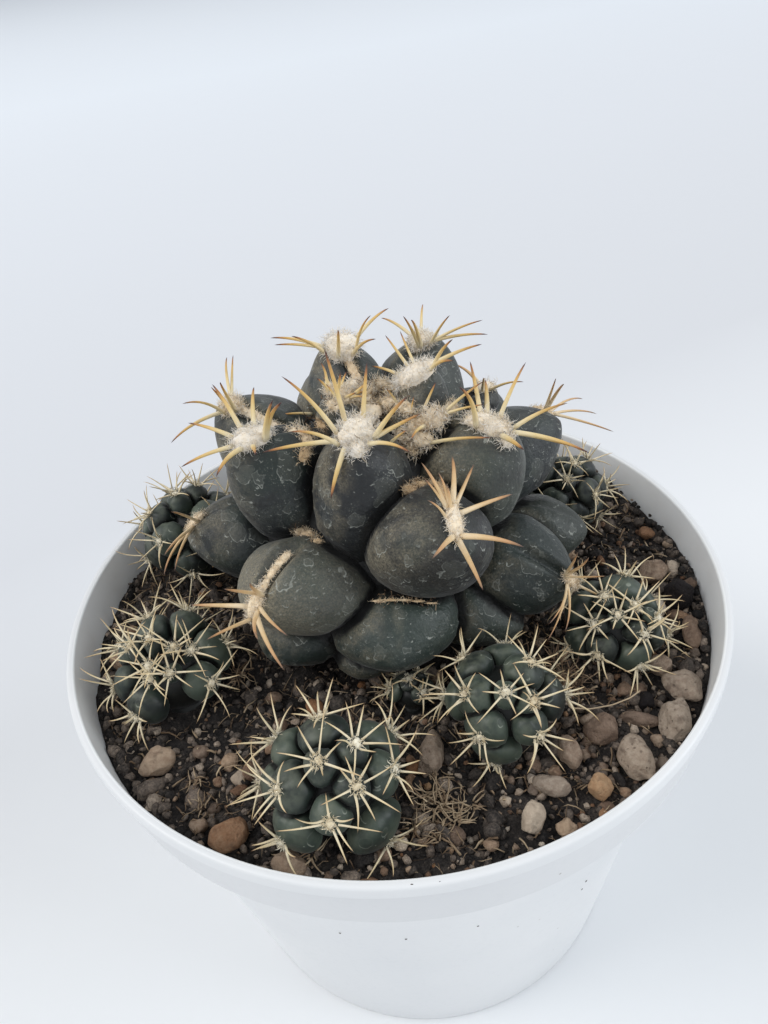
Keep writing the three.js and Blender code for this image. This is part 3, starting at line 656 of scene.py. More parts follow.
def faceted(base, rng, count, planes, depth):
    """The share of the radius that is left where planes at about a depth cut unit balls."""
    normals = unit(rng.normal(size=(count, planes, 3)))
    facing = np.einsum("vk,cpk->cvp", base, normals)
    reach = depth * rng.uniform(0.88, 1.12, (count, 1, planes))
    return np.minimum(1, np.min(reach / np.maximum(facing, 0.3), axis=-1))


def add_lumps(heap, places, halves, ways, level, bumps, seed, planes=0, **values):
    """Uneven balls: a place, three half-sizes and a turn about Z and about X for each."""
    base, faces = ball(level)
    count = len(places)
    salt = np.arange(count)[:, None, None] * 7.3
    swell = 1 + bumps * rough(base[None] * 1.3 + salt, 1, seed)
    if planes:
        swell = swell * faceted(base, np.random.default_rng(seed), count, planes, 0.78)
    local = base[None] * swell[..., None] * halves[:, None]
    cx, sx, cz, sz = np.cos(ways[:, 1]), np.sin(ways[:, 1]), np.cos(ways[:, 0]), np.sin(ways[:, 0])
    x, y, z = np.moveaxis(local, -1, 0)
    y, z = y * cx[:, None] - z * sx[:, None], y * sx[:, None] + z * cx[:, None]
    x, y = x * cz[:, None] - y * sz[:, None], x * sz[:, None] + y * cz[:, None]
    points = np.stack((x, y, z), axis=-1) + places[:, None]
    offset = (np.arange(count) * len(base))[:, None, None]
    heap.add(points, [(faces[None] + offset).reshape(-1, 3)], **repeated(values, count, len(base)))


# Materials


class Finish:
    """A material written as calls that each make a node."""

    def __init__(self, name):
        self.material = bpy.data.materials.new(name)
        self.material.use_nodes = True
        self.tree = self.material.node_tree
        self.tree.nodes.clear()
        self.place = self.node("ShaderNodeTexCoord").outputs["Object"]

    def node(self, kind, inputs=None, **settings):
        """A new node, with its inputs linked or set."""
        made = self.tree.nodes.new(kind)
        for key, value in settings.items():
            setattr(made, key, value)
        for key, value in (inputs or {}).items():
            if isinstance(value, bpy.types.NodeSocket):
                self.tree.links.new(value, made.inputs[key])
            else:
                made.inputs[key].default_value = value
        return made

    def math(self, operation, a, b=0.0, clamp=False):
        return self.node("ShaderNodeMath", {0: a, 1: b}, operation=operation, use_clamp=clamp).outputs[0]

    def vector(self, operation, inputs):
        return self.node("ShaderNodeVectorMath", inputs, operation=operation)

    def plus(self, a, b, clamp=False):
        return self.math("ADD", a, b, clamp)

    def minus(self, a, b):
        return self.math("SUBTRACT", a, b)

    def times(self, a, b, clamp=False):
        return self.math("MULTIPLY", a, b, clamp)

    def most(self, a, b):
        return self.math("MAXIMUM", a, b)

    def value(self, name):
        """A value that the mesh has at its points."""
        return self.node("ShaderNodeAttribute", attribute_name=name).outputs["Fac"]

    def noise(self, size, detail=3, at=None, roughness=0.55):
        """Noise from 0 to 1 with features of a size in millimetres."""
        inputs = {"Vector": at or self.place, "Scale": 1 / (size * MM)}
        inputs.update({"Detail": detail, "Roughness": roughness})
        return self.node("ShaderNodeTexNoise", inputs).outputs["Fac"]

    def warped(self, size, reach):
        """The place, shifted about by noise of a size, by up to about half of reach."""
        inputs = {"Vector": self.place, "Scale": 1 / (size * MM), "Detail": 2}
        colour = self.node("ShaderNodeTexNoise", inputs).outputs["Color"]
        scaled = self.vector("SCALE", {0: colour, "Scale": reach * MM}).outputs[0]
        return self.vector("ADD", {0: self.place, 1: scaled}).outputs[0]

    def cells(self, size, at=None):
        """Distance from the middle of the nearest cell, as a share of its size, and a value for each cell."""
        made = self.node("ShaderNodeTexVoronoi", {"Vector": at or self.place, "Scale": 1 / (size * MM)})
        red = self.node("ShaderNodeSeparateColor", {0: made.outputs["Color"]}).outputs[0]
        return made.outputs["Distance"], red

    def facing(self, way, vector=None):
        """How far the surface faces a way, from -1 to 1, or else how far a vector goes along it."""
        normal = vector or self.node("ShaderNodeNewGeometry").outputs["Normal"]
        length = sum(x * x for x in way) ** 0.5
        unit_way = tuple(x / length for x in way)
        return self.vector("DOT_PRODUCT", {0: normal, 1: unit_way}).outputs["Value"]

    def rings(self, size, radius, half, at, wanted, least):
        """Thin broken rings of uneven sizes in some cells, and their discs. A ring is clearest in its lower
        part, pale scale drawn as a painted highlight on a dimple's lower rim.
        """
        made = self.node("ShaderNodeTexVoronoi", {"Vector": at, "Scale": 1 / (size * MM)})
        distance = made.outputs["Distance"]
        lots = self.node("ShaderNodeSeparateColor", {0: made.outputs["Color"]}).outputs
        chosen = self.step(lots[0], 1 - wanted, 1.02 - wanted)
        offset = self.vector("SUBTRACT", {0: made.outputs["Position"], 1: at}).outputs[0]
        drop = self.vector("DOT_PRODUCT", {0: offset, 1: PHOTO_UP}).outputs["Value"]
        # Painted highlight: a ring shows most on its lower side, as light on a dimple's lower rim.
        low = self.step(drop, 0.02 * size * MM, 0.24 * size * MM)
        low = self.plus(self.times(low, 1 - least), least)
        reach = self.plus(self.times(lots[1], radius), radius * 0.45)
        away = self.math("ABSOLUTE", self.minus(distance, reach))
        ring = self.times(self.step(away, half, half * 0.3), low)
        ring = self.times(ring, self.step(self.noise(size * 0.45, 2), 0.36, 0.5))
        disc = self.step(self.math("DIVIDE", distance, reach), 1, 0.86)
        return self.times(ring, chosen), self.times(disc, chosen)

    def step(self, value, low, high):
        """0 below low and 1 above high. With high below low it falls."""
        inputs = {"Value": value, "From Min": low, "From Max": high}
        return self.node("ShaderNodeMapRange", inputs, interpolation_type="SMOOTHSTEP").outputs[0]

    def mix(self, factor, a, b):
        """Colour a, or b where the factor is 1."""
        made = self.node("ShaderNodeMix", data_type="RGBA")
        for socket, value in zip((made.inputs[0], made.inputs[6], made.inputs[7]), (factor, a, b)):
            if isinstance(value, bpy.types.NodeSocket):
                self.tree.links.new(value, socket)
            elif isinstance(value, tuple):
                socket.default_value = tint(value)
            else:
                socket.default_value = value
        return made.outputs[2]

    def ramp(self, value, stops):
        """A colour from stops of (place, colour)."""
        made = self.node("ShaderNodeValToRGB", {0: value})
        elements = made.color_ramp.elements
        while len(elements) < len(stops):
            elements.new(1)
        for element, (place, colour) in zip(elements, stops):
            element.position = place
            element.color = tint(colour)
        return made.outputs[0]

    def bump(self, height, depth, under=None):
        """A bump of a depth in millimetres."""
        inputs = {"Height": height, "Distance": depth * MM, "Strength": 1.0}
        if under:
            inputs["Normal"] = under
        return self.node("ShaderNodeBump", inputs).outputs[0]

    def finish(self, colour, roughness, normal=None, **extra):
        """The material, once its shader has a colour, a roughness and other inputs."""
        inputs = {"Base Color": colour, "Roughness": roughness}
        if normal:
            inputs["Normal"] = normal
        inputs.update({key.replace("_", " "): value for key, value in extra.items()})
        shader = self.node("ShaderNodeBsdfPrincipled", inputs)
        self.node("ShaderNodeOutputMaterial", {"Surface": shader.outputs[0]})
        return self.material


def tint(colour):
    """A linear colour from red, green and blue between 0 and 255."""
    share = np.array(colour, float) / 255
    linear = np.where(share < 0.04045, share / 12.92, ((share + 0.055) / 1.055) ** 2.4)
    return (*(float(x) for x in linear), 1.0)


def worn_and_lit_patches(f):
    """Where corky tan lies on the old skin: in patches and specks, mostly where it faces the lit left, so
    partly painted light.
    """
    # Painted light: the tan favours faces turned to the lit left side.
    facing = f.step(f.facing((-0.85, -0.15, 0.5)), 0.32, 0.97)
    patchy = f.step(f.noise(5, 5, roughness=0.66), 0.36, 0.6)
    worn = f.times(patchy, facing)
    left = f.plus(f.step(f.facing((-1, -0.5, 0.1)), 0.1, 0.9), 0.35)
    worn = f.plus(f.times(worn, 0.78), f.times(f.value("worn"), left), clamp=True)
    speckle = f.step(f.noise(0.36, 3, roughness=0.7), 0.36, 0.66)
    return f.times(worn, f.plus(f.times(speckle, 0.7), 0.3))


def scale_marks(f, colour):
    """The colour under broken arcs, dashes and dots of pale scale and frost, the arcs brightest below as
    painted highlight, and the discs in small arcs.
    """
    small, small_disc = f.rings(2.1, 0.3, 0.055, f.warped(1.2, 1.5), 0.45, 0.05)
    large, large_disc = f.rings(5, 0.34, 0.026, f.warped(2.2, 3), 0.75, 0.35)
    dash, _ = f.rings(1.5, 0.24, 0.065, f.warped(0.9, 1.1), 0.5, 0)
    blotch = f.times(f.most(large_disc, f.times(small_disc, 0.5)), 0.16)
    colour = f.mix(blotch, colour, (120, 122, 114))
    close, lit = f.cells(0.9, f.warped(0.9, 0.5))
    dot = f.times(f.step(close, 0.18, 0.08), f.step(lit, 0.78, 0.82))
    marks = f.most(f.most(small, large), f.most(dash, f.times(dot, 0.8)))
    faded = f.times(marks, f.plus(f.times(f.noise(5, 3), 1.4), -0.12), clamp=True)
    colour = f.mix(faded, colour, (168, 171, 163))
    frost = f.times(f.step(f.noise(0.3, 2), 0.6, 0.72), f.step(f.noise(4.5, 4), 0.42, 0.66))
    return f.mix(f.times(frost, 0.42), colour, (164, 165, 154)), small_disc


def old_skin():
    """Slate-grey waxy skin, greener in places, with corky tan and pale scale, partly painted light on the lit
    left side, and painted shade in the clefts.
    """
    f = Finish("old_skin")
    tone = f.plus(f.noise(9, 4), f.times(f.value("tone"), 0.2))
    colour = f.ramp(tone, [(0.3, (22, 25, 28)), (0.5, (35, 40, 42)), (0.75, (58, 65, 62))])
    green = f.plus(f.value("green"), f.step(f.noise(11, 2), 0.5, 0.75), clamp=True)
    colour = f.mix(f.times(green, 0.5), colour, (36, 52, 44))
    grain = f.minus(f.noise(0.7, 5, roughness=0.75), 0.5)
    share = f.plus(f.times(f.value("tone"), 0.14), 0.3)
    light = f.times(f.step(grain, 0.02, 0.28), share)
    colour = f.mix(light, colour, (112, 117, 108))
    colour = f.mix(f.times(f.step(grain, -0.03, -0.25), 0.65), colour, (20, 22, 24))
    worn = worn_and_lit_patches(f)
    colour, small_disc = scale_marks(f, f.mix(worn, colour, (138, 130, 110)))
    # Painted shade: the skin goes near black in the clefts by its neighbours and on the stem.
    colour = f.mix(f.step(f.value("cleft"), 0.35, 1), colour, (17, 18, 18))

    height = f.minus(f.noise(0.6, 3), f.times(small_disc, 0.5))
    normal = f.bump(f.noise(3.2, 4), 0.5)
    normal = f.bump(height, 0.1, normal)
    roughness = f.plus(f.times(f.noise(3, 3), 0.25), 0.36)
    roughness = f.plus(roughness, f.times(worn, 0.3))
    sheen = {"Sheen_Weight": 0.1, "Sheen_Roughness": 0.4}
    return f.finish(colour, roughness, normal, Specular_IOR_Level=0.5, **sheen)


def young_skin():
    """Smooth dark green skin, paler and duller where dust lies on faces up and to the lit left, partly
    painted light, with painted shade in its clefts.
    """
    f = Finish("young_skin")
    tone = f.plus(f.noise(5, 3), f.times(f.value("tone"), 0.22))
    colour = f.ramp(tone, [(0.3, (27, 34, 33)), (0.5, (41, 51, 46)), (0.75, (70, 81, 71))])
    # Dust on the upward faces, tilted to the lit left side as painted light.
    facing = f.step(f.facing((-0.5, -0.2, 0.8)), 0.15, 1)
    dust_and_lit = f.times(f.step(f.noise(2.4, 4), 0.35, 0.65), facing)
    colour = f.mix(f.times(dust_and_lit, 0.5), colour, (112, 118, 102))
    arcs, _ = f.rings(2.6, 0.34, 0.05, f.warped(2, 1), 0.3, 0.15)
    close, lit = f.cells(1.5)
    dot = f.times(f.step(close, 0.12, 0.06), f.step(lit, 0.78, 0.8))
    colour = f.mix(f.times(f.most(arcs, dot), 0.5), colour, (172, 178, 164))
    # Painted shade: the skin goes dark in the clefts between tubercles and on the core.
    colour = f.mix(f.step(f.value("cleft"), 0.4, 1), colour, (20, 23, 21))
    normal = f.bump(f.noise(1.4, 3), 0.12)
    roughness = f.plus(f.times(f.noise(3, 2), 0.25), 0.34)
    sheen = {"Sheen_Weight": 0.08, "Sheen_Roughness": 0.4}
    return f.finish(colour, roughness, normal, Specular_IOR_Level=0.45, **sheen)


def spine_horn():
    """Straw-coloured spines with dark tips.

    Age 0 is an offset head's, 0.5 a young tubercle's and 1 an old one's.
    """
    f = Finish("spine_horn")
    streak = f.times(f.minus(f.noise(1.4, 3), 0.5), 0.22)
    along = f.plus(f.value("along"), streak)
    young = [
        (0.0, (236, 224, 192)),
        (0.34, (230, 205, 148)),
        (0.62, (217, 177, 106)),
        (0.82, (176, 122, 76)),
        (0.93, (82, 50, 48)),
    ]
    aged = [(0.0, (240, 222, 190)), (0.35, (224, 192, 144)), (0.75, (196, 150, 106)), (0.95, (118, 94, 82))]
    pale = [(0.0, (244, 232, 204)), (0.5, (234, 216, 176)), (0.85, (212, 184, 142)), (1.0, (150, 116, 92))]
    tipped = f.mix(f.step(f.value("age"), 0, 0.5), f.ramp(along, pale), f.ramp(along, young))
    colour = f.mix(f.step(f.value("age"), 0.5, 1), tipped, f.ramp(along, aged))
    colour = f.mix(f.times(f.step(f.noise(5, 2), 0.5, 0.8), 0.35), colour, (176, 146, 92))
    normal = f.bump(f.noise(0.5, 3), 0.03)
    return f.finish(colour, 0.45, normal, Specular_IOR_Level=0.4)


def wool_felt(name, stops):
    """Wool, coloured by its age, with a few dark specks."""
    f = Finish(name)
    tone = f.plus(f.value("age"), f.times(f.minus(f.noise(1.2, 4), 0.5), 0.45))
    colour = f.ramp(tone, stops)
    close, lit = f.cells(1.1)
    speck = f.times(f.step(close, 0.16, 0.08), f.step(lit, 0.93, 0.95))
    colour = f.mix(f.times(speck, 0.7), colour, (96, 70, 54))
    normal = f.bump(f.noise(0.3, 4), 0.12)
    return f.finish(colour, 0.95, normal, Specular_IOR_Level=0.1, Sheen_Weight=0.3, Sheen_Roughness=0.6)


OLD_FELT = [(0.0, (255, 250, 242)), (0.3, (250, 232, 202)), (0.6, (220, 190, 148)), (1.0, (142, 110, 82))]
YOUNG_FELT = [(0.0, (252, 244, 222)), (0.3, (244, 230, 198)), (1.0, (206, 178, 134))]


def peat():
    """Dark brown soil. The tone value makes a crumb paler."""
    f = Finish("peat")
    tone = f.plus(f.value("tone"), f.times(f.minus(f.noise(1.3, 5), 0.5), 0.5))
    fine = f.minus(f.noise(0.42, 4, roughness=0.7), 0.5)
    tone = f.plus(tone, f.times(fine, 0.85))
    stops = [
        (0.0, (29, 28, 29)),
        (0.25, (61, 57, 55)),
        (0.5, (104, 95, 88)),
        (0.75, (152, 137, 124)),
        (1.0, (208, 191, 172)),
    ]
    colour = f.ramp(tone, stops)
    normal = f.bump(f.noise(0.5, 6, roughness=0.65), 0.55)
    return f.finish(colour, 0.93, normal, Specular_IOR_Level=0.25)


def stone():
    """Gravel from grey through beige to orange, paler or darker by each stone's own values."""
    f = Finish("stone")
    grain = f.minus(f.noise(0.9, 6, roughness=0.68), 0.5)
    pale = f.plus(f.value("pale"), f.times(grain, 0.55))
    grey = f.ramp(pale, [(0.0, (32, 31, 33)), (0.5, (138, 126, 115)), (1.0, (214, 204, 190))])
    orange = f.ramp(pale, [(0.0, (84, 52, 36)), (0.5, (166, 118, 80)), (1.0, (222, 188, 148))])
    colour = f.mix(f.value("warm"), grey, orange)
    dirt = f.times(f.step(f.noise(2.4, 5), 0.52, 0.7), f.step(f.value("pale"), 0.1, 0.45))
    colour = f.mix(f.times(dirt, 0.5), colour, (74, 58, 48))
    holes, chosen = f.cells(0.8, f.warped(0.8, 0.6))
    pits = f.times(f.step(holes, 0.34, 0.1), f.step(chosen, 0.4, 0.5))
    pits = f.times(pits, f.value("porous"))
    # Painted shade: the pores of porous stones are darkened.
    colour = f.mix(f.times(pits, 0.25), colour, (84, 70, 60))
    height = f.minus(f.noise(0.8, 6, roughness=0.7), f.times(pits, 0.5))
    normal = f.bump(height, 0.7)
    return f.finish(colour, 0.88, normal, Specular_IOR_Level=0.25)


def fibre():
    """Dry roots and peat fibres."""
    f = Finish("fibre")
    colour = f.ramp(f.value("tone"), [(0.0, (66, 54, 46)), (0.5, (134, 112, 90)), (1.0, (208, 188, 158))])
    return f.finish(colour, 0.85, f.bump(f.noise(0.4, 2), 0.04), Specular_IOR_Level=0.2)


def white_plastic():
    """Satin white plastic with fine scuffs, a band greyer as painted shade, an inside paler as painted light,
    and dirt on the inside near the soil.
    """
    f = Finish("white_plastic")
    colour = f.ramp(f.noise(40, 2), [(0.3, (226, 228, 230)), (0.7, (234, 235, 236))])
    # Painted shade: the band is greyer than the body below it.
    colour = f.mix(f.times(f.value("band"), 0.6), colour, (217, 218, 220))
    # Painted light: the inside of the wall is paler than the outside.
    colour = f.mix(f.step(f.value("inside"), 0, 0.3), colour, (247, 249, 250))
    soiled = f.times(f.value("inside"), f.step(f.noise(9, 5), 0.42, 0.8))
    colour = f.mix(f.times(soiled, 0.22), colour, (164, 150, 134))
    close, lit = f.cells(5)
    speck = f.times(f.step(close, 0.06, 0.03), f.step(lit, 0.8, 0.82))
    colour = f.mix(f.times(speck, 0.55), colour, (110, 96, 84))
    normal = f.bump(f.noise(3, 3), 0.03)
    scuffs = f.times(f.step(f.noise(1.2, 4), 0.5, 0.75), 0.15)
    return f.finish(colour, f.plus(scuffs, 0.33), normal, Specular_IOR_Level=0.4)


def paper():
    """The pale ground that the pot stands on, with painted light and shade: paler in front of the pot, darker
    a little behind it and towards the left, paler again far off.
    """
    f = Finish("paper")
    # Painted light and shade: the floor's colour follows the fall of light across it.
    away = f.math("DIVIDE", f.facing((-0.35, 1, 0), f.place), 1.6)
    away = f.plus(away, f.times(f.noise(220, 3), 0.02))
    stops = [(0.02, (235, 237, 239)), (0.13, (215, 217, 221)), (0.4, (221, 224, 229)), (1.0, (230, 235, 241))]
    colour = f.ramp(away, stops)
    return f.finish(colour, 0.8, f.bump(f.noise(60, 2), 0.6), Specular_IOR_Level=0.2)


# Camera


def view_axes():
    """Right, up and forward of the photograph's camera."""
    pitch, yaw, roll = np.radians((CAMERA["pitch"], CAMERA["yaw"], CAMERA["roll"]))
    forward = np.array((np.sin(yaw) * np.cos(pitch), np.cos(yaw) * np.cos(pitch), -np.sin(pitch)))
    level = np.array((np.cos(yaw), -np.sin(yaw), 0))
    above = np.cross(level, forward)
    right = np.cos(roll) * level + np.sin(roll) * above
    up = -np.sin(roll) * level + np.cos(roll) * above
    return right, up, forward


EYE = np.array(CAMERA["place"], float)
RIGHT, UP, FORWARD = view_axes()


def ray(pixel):
    """The way from the camera through a pixel of the photograph."""
    width, height = CAMERA["frame"]
    aside = (pixel[0] - width / 2) / CAMERA["focal_pixels"]
    down = (pixel[1] - height / 2) / CAMERA["focal_pixels"]
    return unit(FORWARD + aside * RIGHT - down * UP)


def chord(way, centre, radius):
    """How far along a ray its chord through a ball has its middle, and half the chord, 0 past the ball."""
    middle = (centre - EYE) @ way
    aside = np.linalg.norm(EYE + way * middle - centre)
    return middle, np.sqrt(max(radius**2 - aside**2, 0))


def make_camera():
    """The photograph's camera."""
    data = bpy.data.cameras.new("camera")
    data.sensor_width = CAMERA["sensor"]
    data.lens = CAMERA["sensor"] * CAMERA["focal_pixels"] / CAMERA["frame"][1]
    data.clip_start = 0.01
    camera = bpy.data.objects.new("camera", data)
    turn = Matrix((RIGHT, UP, -FORWARD)).transposed().to_4x4()
    camera.matrix_world = Matrix.Translation(EYE * MM) @ turn
    bpy.context.scene.collection.objects.link(camera)
    bpy.context.scene.camera = camera


# Pot

BAND_BOTTOM = POT["height"] - POT["band_height"]
STEP_TOP = BAND_BOTTOM + POT["band_step"]


def wall_radius(z):
    """Outside radius of the wall below the band."""
    return POT["foot_radius"] + (POT["shoulder_radius"] - POT["foot_radius"]) * z / BAND_BOTTOM


def inner_radius(z):
    """Inside radius, the band's step included."""
    share = (z - BAND_BOTTOM) / POT["band_height"]
    band = POT["band_radius"] + (POT["rim_radius"] - POT["band_radius"]) * share
    return np.where(np.asarray(z) < STEP_TOP, wall_radius(z), band) - POT["wall"]


SOIL_EDGE = float(inner_radius(SOIL["level"]))


def rounded(profile, radii, points=5):
    """A profile of (radius, height) corners with each corner rounded by its own radius."""
    made = [profile[0]]
    for before, corner, after, radius in zip(profile, profile[1:], profile[2:], radii[1:]):
        a, b = unit(np.subtract(before, corner)), unit(np.subtract(after, corner))
        half = np.arccos(np.clip(a @ b, -1, 1)) / 2
        reach = radius / np.tan(half)
        start, end = corner + a * reach, corner + b * reach
        for share in np.linspace(0, 1, points):
            made.append(curve(start, np.array(corner), end, share))
    made.append(profile[-1])
    return np.array(made, float)


def make_pot(material):
    """The pot, turned from its outline, with its drain holes."""
    inside = POT["foot_radius"] - POT["foot_ring"]
    rim, top = POT["rim_radius"], POT["height"]
    corners = [
        ((0, POT["foot_recess"]), 0),
        ((inside - 0.6, POT["foot_recess"]), 0.4),
        ((inside, 0), 0.3),
        ((POT["foot_radius"], 0), 0.5),
        ((POT["shoulder_radius"], BAND_BOTTOM), 0.6),
        ((POT["band_radius"], BAND_BOTTOM), 0.6),
        ((rim - 0.75, top - 3.4), 0.3),
        ((rim, top - 2.6), 0.4),
        ((rim, top), 0.68),
        ((rim - POT["wall"], top - 0.1), 0.6),
        ((float(inner_radius(STEP_TOP)), STEP_TOP), 0.5),
        ((wall_radius(STEP_TOP) - POT["wall"], STEP_TOP - 0.2), 0.4),
        ((float(inner_radius(POT["floor"])), POT["floor"]), 1),
        ((0, POT["floor"]), 0),
    ]
    profile = rounded([place for place, _ in corners], [radius for _, radius in corners])[1:-1]
    rings = np.stack([on_circle(r, z, POT["sides"]) for r, z in profile])
    points, faces = skin(rings, (0, 0, POT["foot_recess"]), (0, 0, POT["floor"]))
    reach, height = np.hypot(points[:, 0], points[:, 1]), points[:, 2]
    inner = (reach < inner_radius(height) + 0.3) & (height > POT["floor"])
    band = ~inner & (height > BAND_BOTTOM - 0.05) & (height < top - 2.9)
    inside = np.where(inner, 1 - 0.6 * smooth(height, top - 10, top - 2), 0)
    heap = Heap()
    heap.add(points, faces, inside=inside, band=band.astype(float))
    pot = piece("pot_shell", heap, material, ["pot"], "pot")
    cut_drains(pot)


def front_place(pixel):
    """Where a pixel's ray meets the front of the pot."""
    places = EYE + ray(pixel) * np.arange(60, 220, 0.05)[:, None]
    reach = np.hypot(places[:, 0], places[:, 1])
    outside = inner_radius(places[:, 2]) + POT["wall"]
    return places[np.argmax((reach < outside) & (places[:, 2] < POT["height"] - 0.2))]


def make_specks(material):
    """Specks of soil stuck to the pot."""
    heap = Heap()
    for k, (pixel, size) in enumerate(POT_SPECKS):
        place = front_place(pixel)
        halves = np.array([[0.1, size, size * 0.8]])
        turn = np.arctan2(place[1], place[0])
        add_lumps(heap, place[None], halves, np.array([[turn, 0]]), 2, 0.25, k, tone=0.35)
    piece("pot_specks", heap, material, ["pot"], "soil")


def cut_drains(pot):
    """The round drain holes in the pot's floor."""
    shape = bmesh.new()
    for i in range(POT["drain_holes"]):
        angle = 2 * np.pi * (i + 0.5) / POT["drain_holes"]
        centre = np.array((*polar(POT["drain_circle"], angle), POT["floor"]))
        place = Matrix.Translation(centre * MM)
        size = POT["drain_radius"] * MM
        depth = 2 * POT["floor"] * MM
        bmesh.ops.create_cone(
            shape, cap_ends=True, segments=32, radius1=size, radius2=size, depth=depth, matrix=place
        )
    mesh = bpy.data.meshes.new("drains")
    shape.to_mesh(mesh)
    shape.free()
    drains = bpy.data.objects.new("drains", mesh)
    bpy.context.scene.collection.objects.link(drains)
    cut = pot.modifiers.new("drains", "BOOLEAN")
    cut.operation = "DIFFERENCE"
    cut.object = drains
    cut.solver = "EXACT"
    bpy.context.view_layer.update()
    made = bpy.data.meshes.new_from_object(pot.evaluated_get(bpy.context.evaluated_depsgraph_get()))
    pot.modifiers.clear()
    pot.data = made
    bpy.data.objects.remove(drains)


# Soil


def soil_height(x, y):
    """The soil's height before its own roughness."""
    a, b, c, d = SOIL["waves"]
    waves = np.sin(x / a + y / b) + np.sin(y / c - x / d)
    return SOIL["level"] + SOIL["swell"] * waves / 2


def ground(x, y):
    """The height of the rough soil, which climbs a little up the wall at the back right."""
    flat = np.stack((x, y, np.zeros_like(x)), axis=-1)
    lumps = sum(depth * rough(flat, size, seed) for depth, size, seed in SOIL["lumps"])
    high, near, far = SOIL["bank"]
    side = np.clip((x * 0.8 + y * 0.6) / 60, 0, 1)
    bank = high * smooth(np.hypot(x, y), near, far) * side
    return soil_height(x, y) + lumps + bank - SOIL["sink"]


def make_soil(material):
    """The bed that fills the pot."""
    gap, sides = SOIL["gap"], SOIL["sides"]
    low, step = POT["floor"] + gap, STEP_TOP + gap
    walls = [
        on_circle(float(inner_radius(POT["floor"])) - gap, low, sides),
        on_circle(wall_radius(STEP_TOP) - POT["wall"] - gap, step, sides),
        on_circle(float(inner_radius(step)) - 0.2, step, sides),
    ]
    surface = []
    for share in np.linspace(1, 0.02, SOIL["rings"]):
        ring = on_circle((SOIL_EDGE - 0.1) * share, 0, sides)
        ring[:, 2] = ground(ring[:, 0], ring[:, 1])
        surface.append(ring)
    centre = (0, 0, float(ground(np.zeros(1), np.zeros(1))[0]))
    points, faces = skin(np.stack(walls + surface), (0, 0, low), centre)
    heap = Heap()
    # Painted shade: the bed is darker than the crumbs on it, so the gaps between them look shadowed.
    heap.add(points, faces, tone=0.2 + 0.14 * noise(points, 6, 5))
    piece("soil_bed", heap, material, ["soil"], "soil")


def free_places(rng, count, margin, low=19.0):
    """Random places on the soil that no head or large stone covers, each with room for its margin."""
    reach = np.sqrt(rng.uniform(low**2, SOIL["loose_reach"] ** 2, count))
    x, y = polar(reach, rng.uniform(0, 2 * np.pi, count))
    free = reach + margin < SOIL_EDGE - 0.2
    for cx, cy, radius in OFFSET_SPOTS:
        free &= np.hypot(x - cx, y - cy) > radius * 0.5 + margin
    for cx, cy, length, width in STONE_SPOTS:
        free &= np.hypot(x - cx, y - cy) > (length + width) / 4.6
    free &= np.hypot(x - HEART[0], y - HEART[1]) > SHOULDER - 9 + margin
    return x, y, free


def make_crumbs(material):
    """Crumbs of peat over the whole bed and along the wall."""
    rng = np.random.default_rng(4)
    heap = Heap()
    for count, low, high, level, lift, seed in CRUMBS:
        size = low + (high - low) * rng.random(count) ** 2
        x, y, free = free_places(rng, count, size)
        halves = size[:, None] * rng.uniform(0.5, 1.3, (count, 3))
        ways = rng.uniform(0, 2 * np.pi, (count, 2))
        tone = rng.beta(1.5, 1.9, count)
        places = np.stack((x, y, ground(x, y) + size * lift), axis=-1)
        add_lumps(heap, places[free], halves[free], ways[free], level, 0.42, seed, tone=tone[free])
    count = WALL_CRUMBS["count"]
    size = WALL_CRUMBS["least"] + WALL_CRUMBS["spread"] * rng.random(count) ** 1.5
    angle = rng.uniform(0, 2 * np.pi, count)
    reach = inner_radius(SOIL["level"] + 1) - 0.5 - size * rng.uniform(0.8, 1.6, count)
    x, y = polar(reach, angle)
    rise = rng.random(count) ** 2 * (0.8 + WALL_CRUMBS["bank"] * np.clip((x + y) / 80, 0, 1))
    places = np.stack((x, y, ground(x, y) + rise), axis=-1)
    halves = size[:, None] * rng.uniform(0.5, 1.1, (count, 3))
    ways = rng.uniform(0, 2 * np.pi, (count, 2))
    add_lumps(heap, places, halves, ways, 1, 0.4, 17, tone=rng.beta(1.3, 2.3, count))
    piece("soil_crumbs", heap, material, ["soil"], "soil")


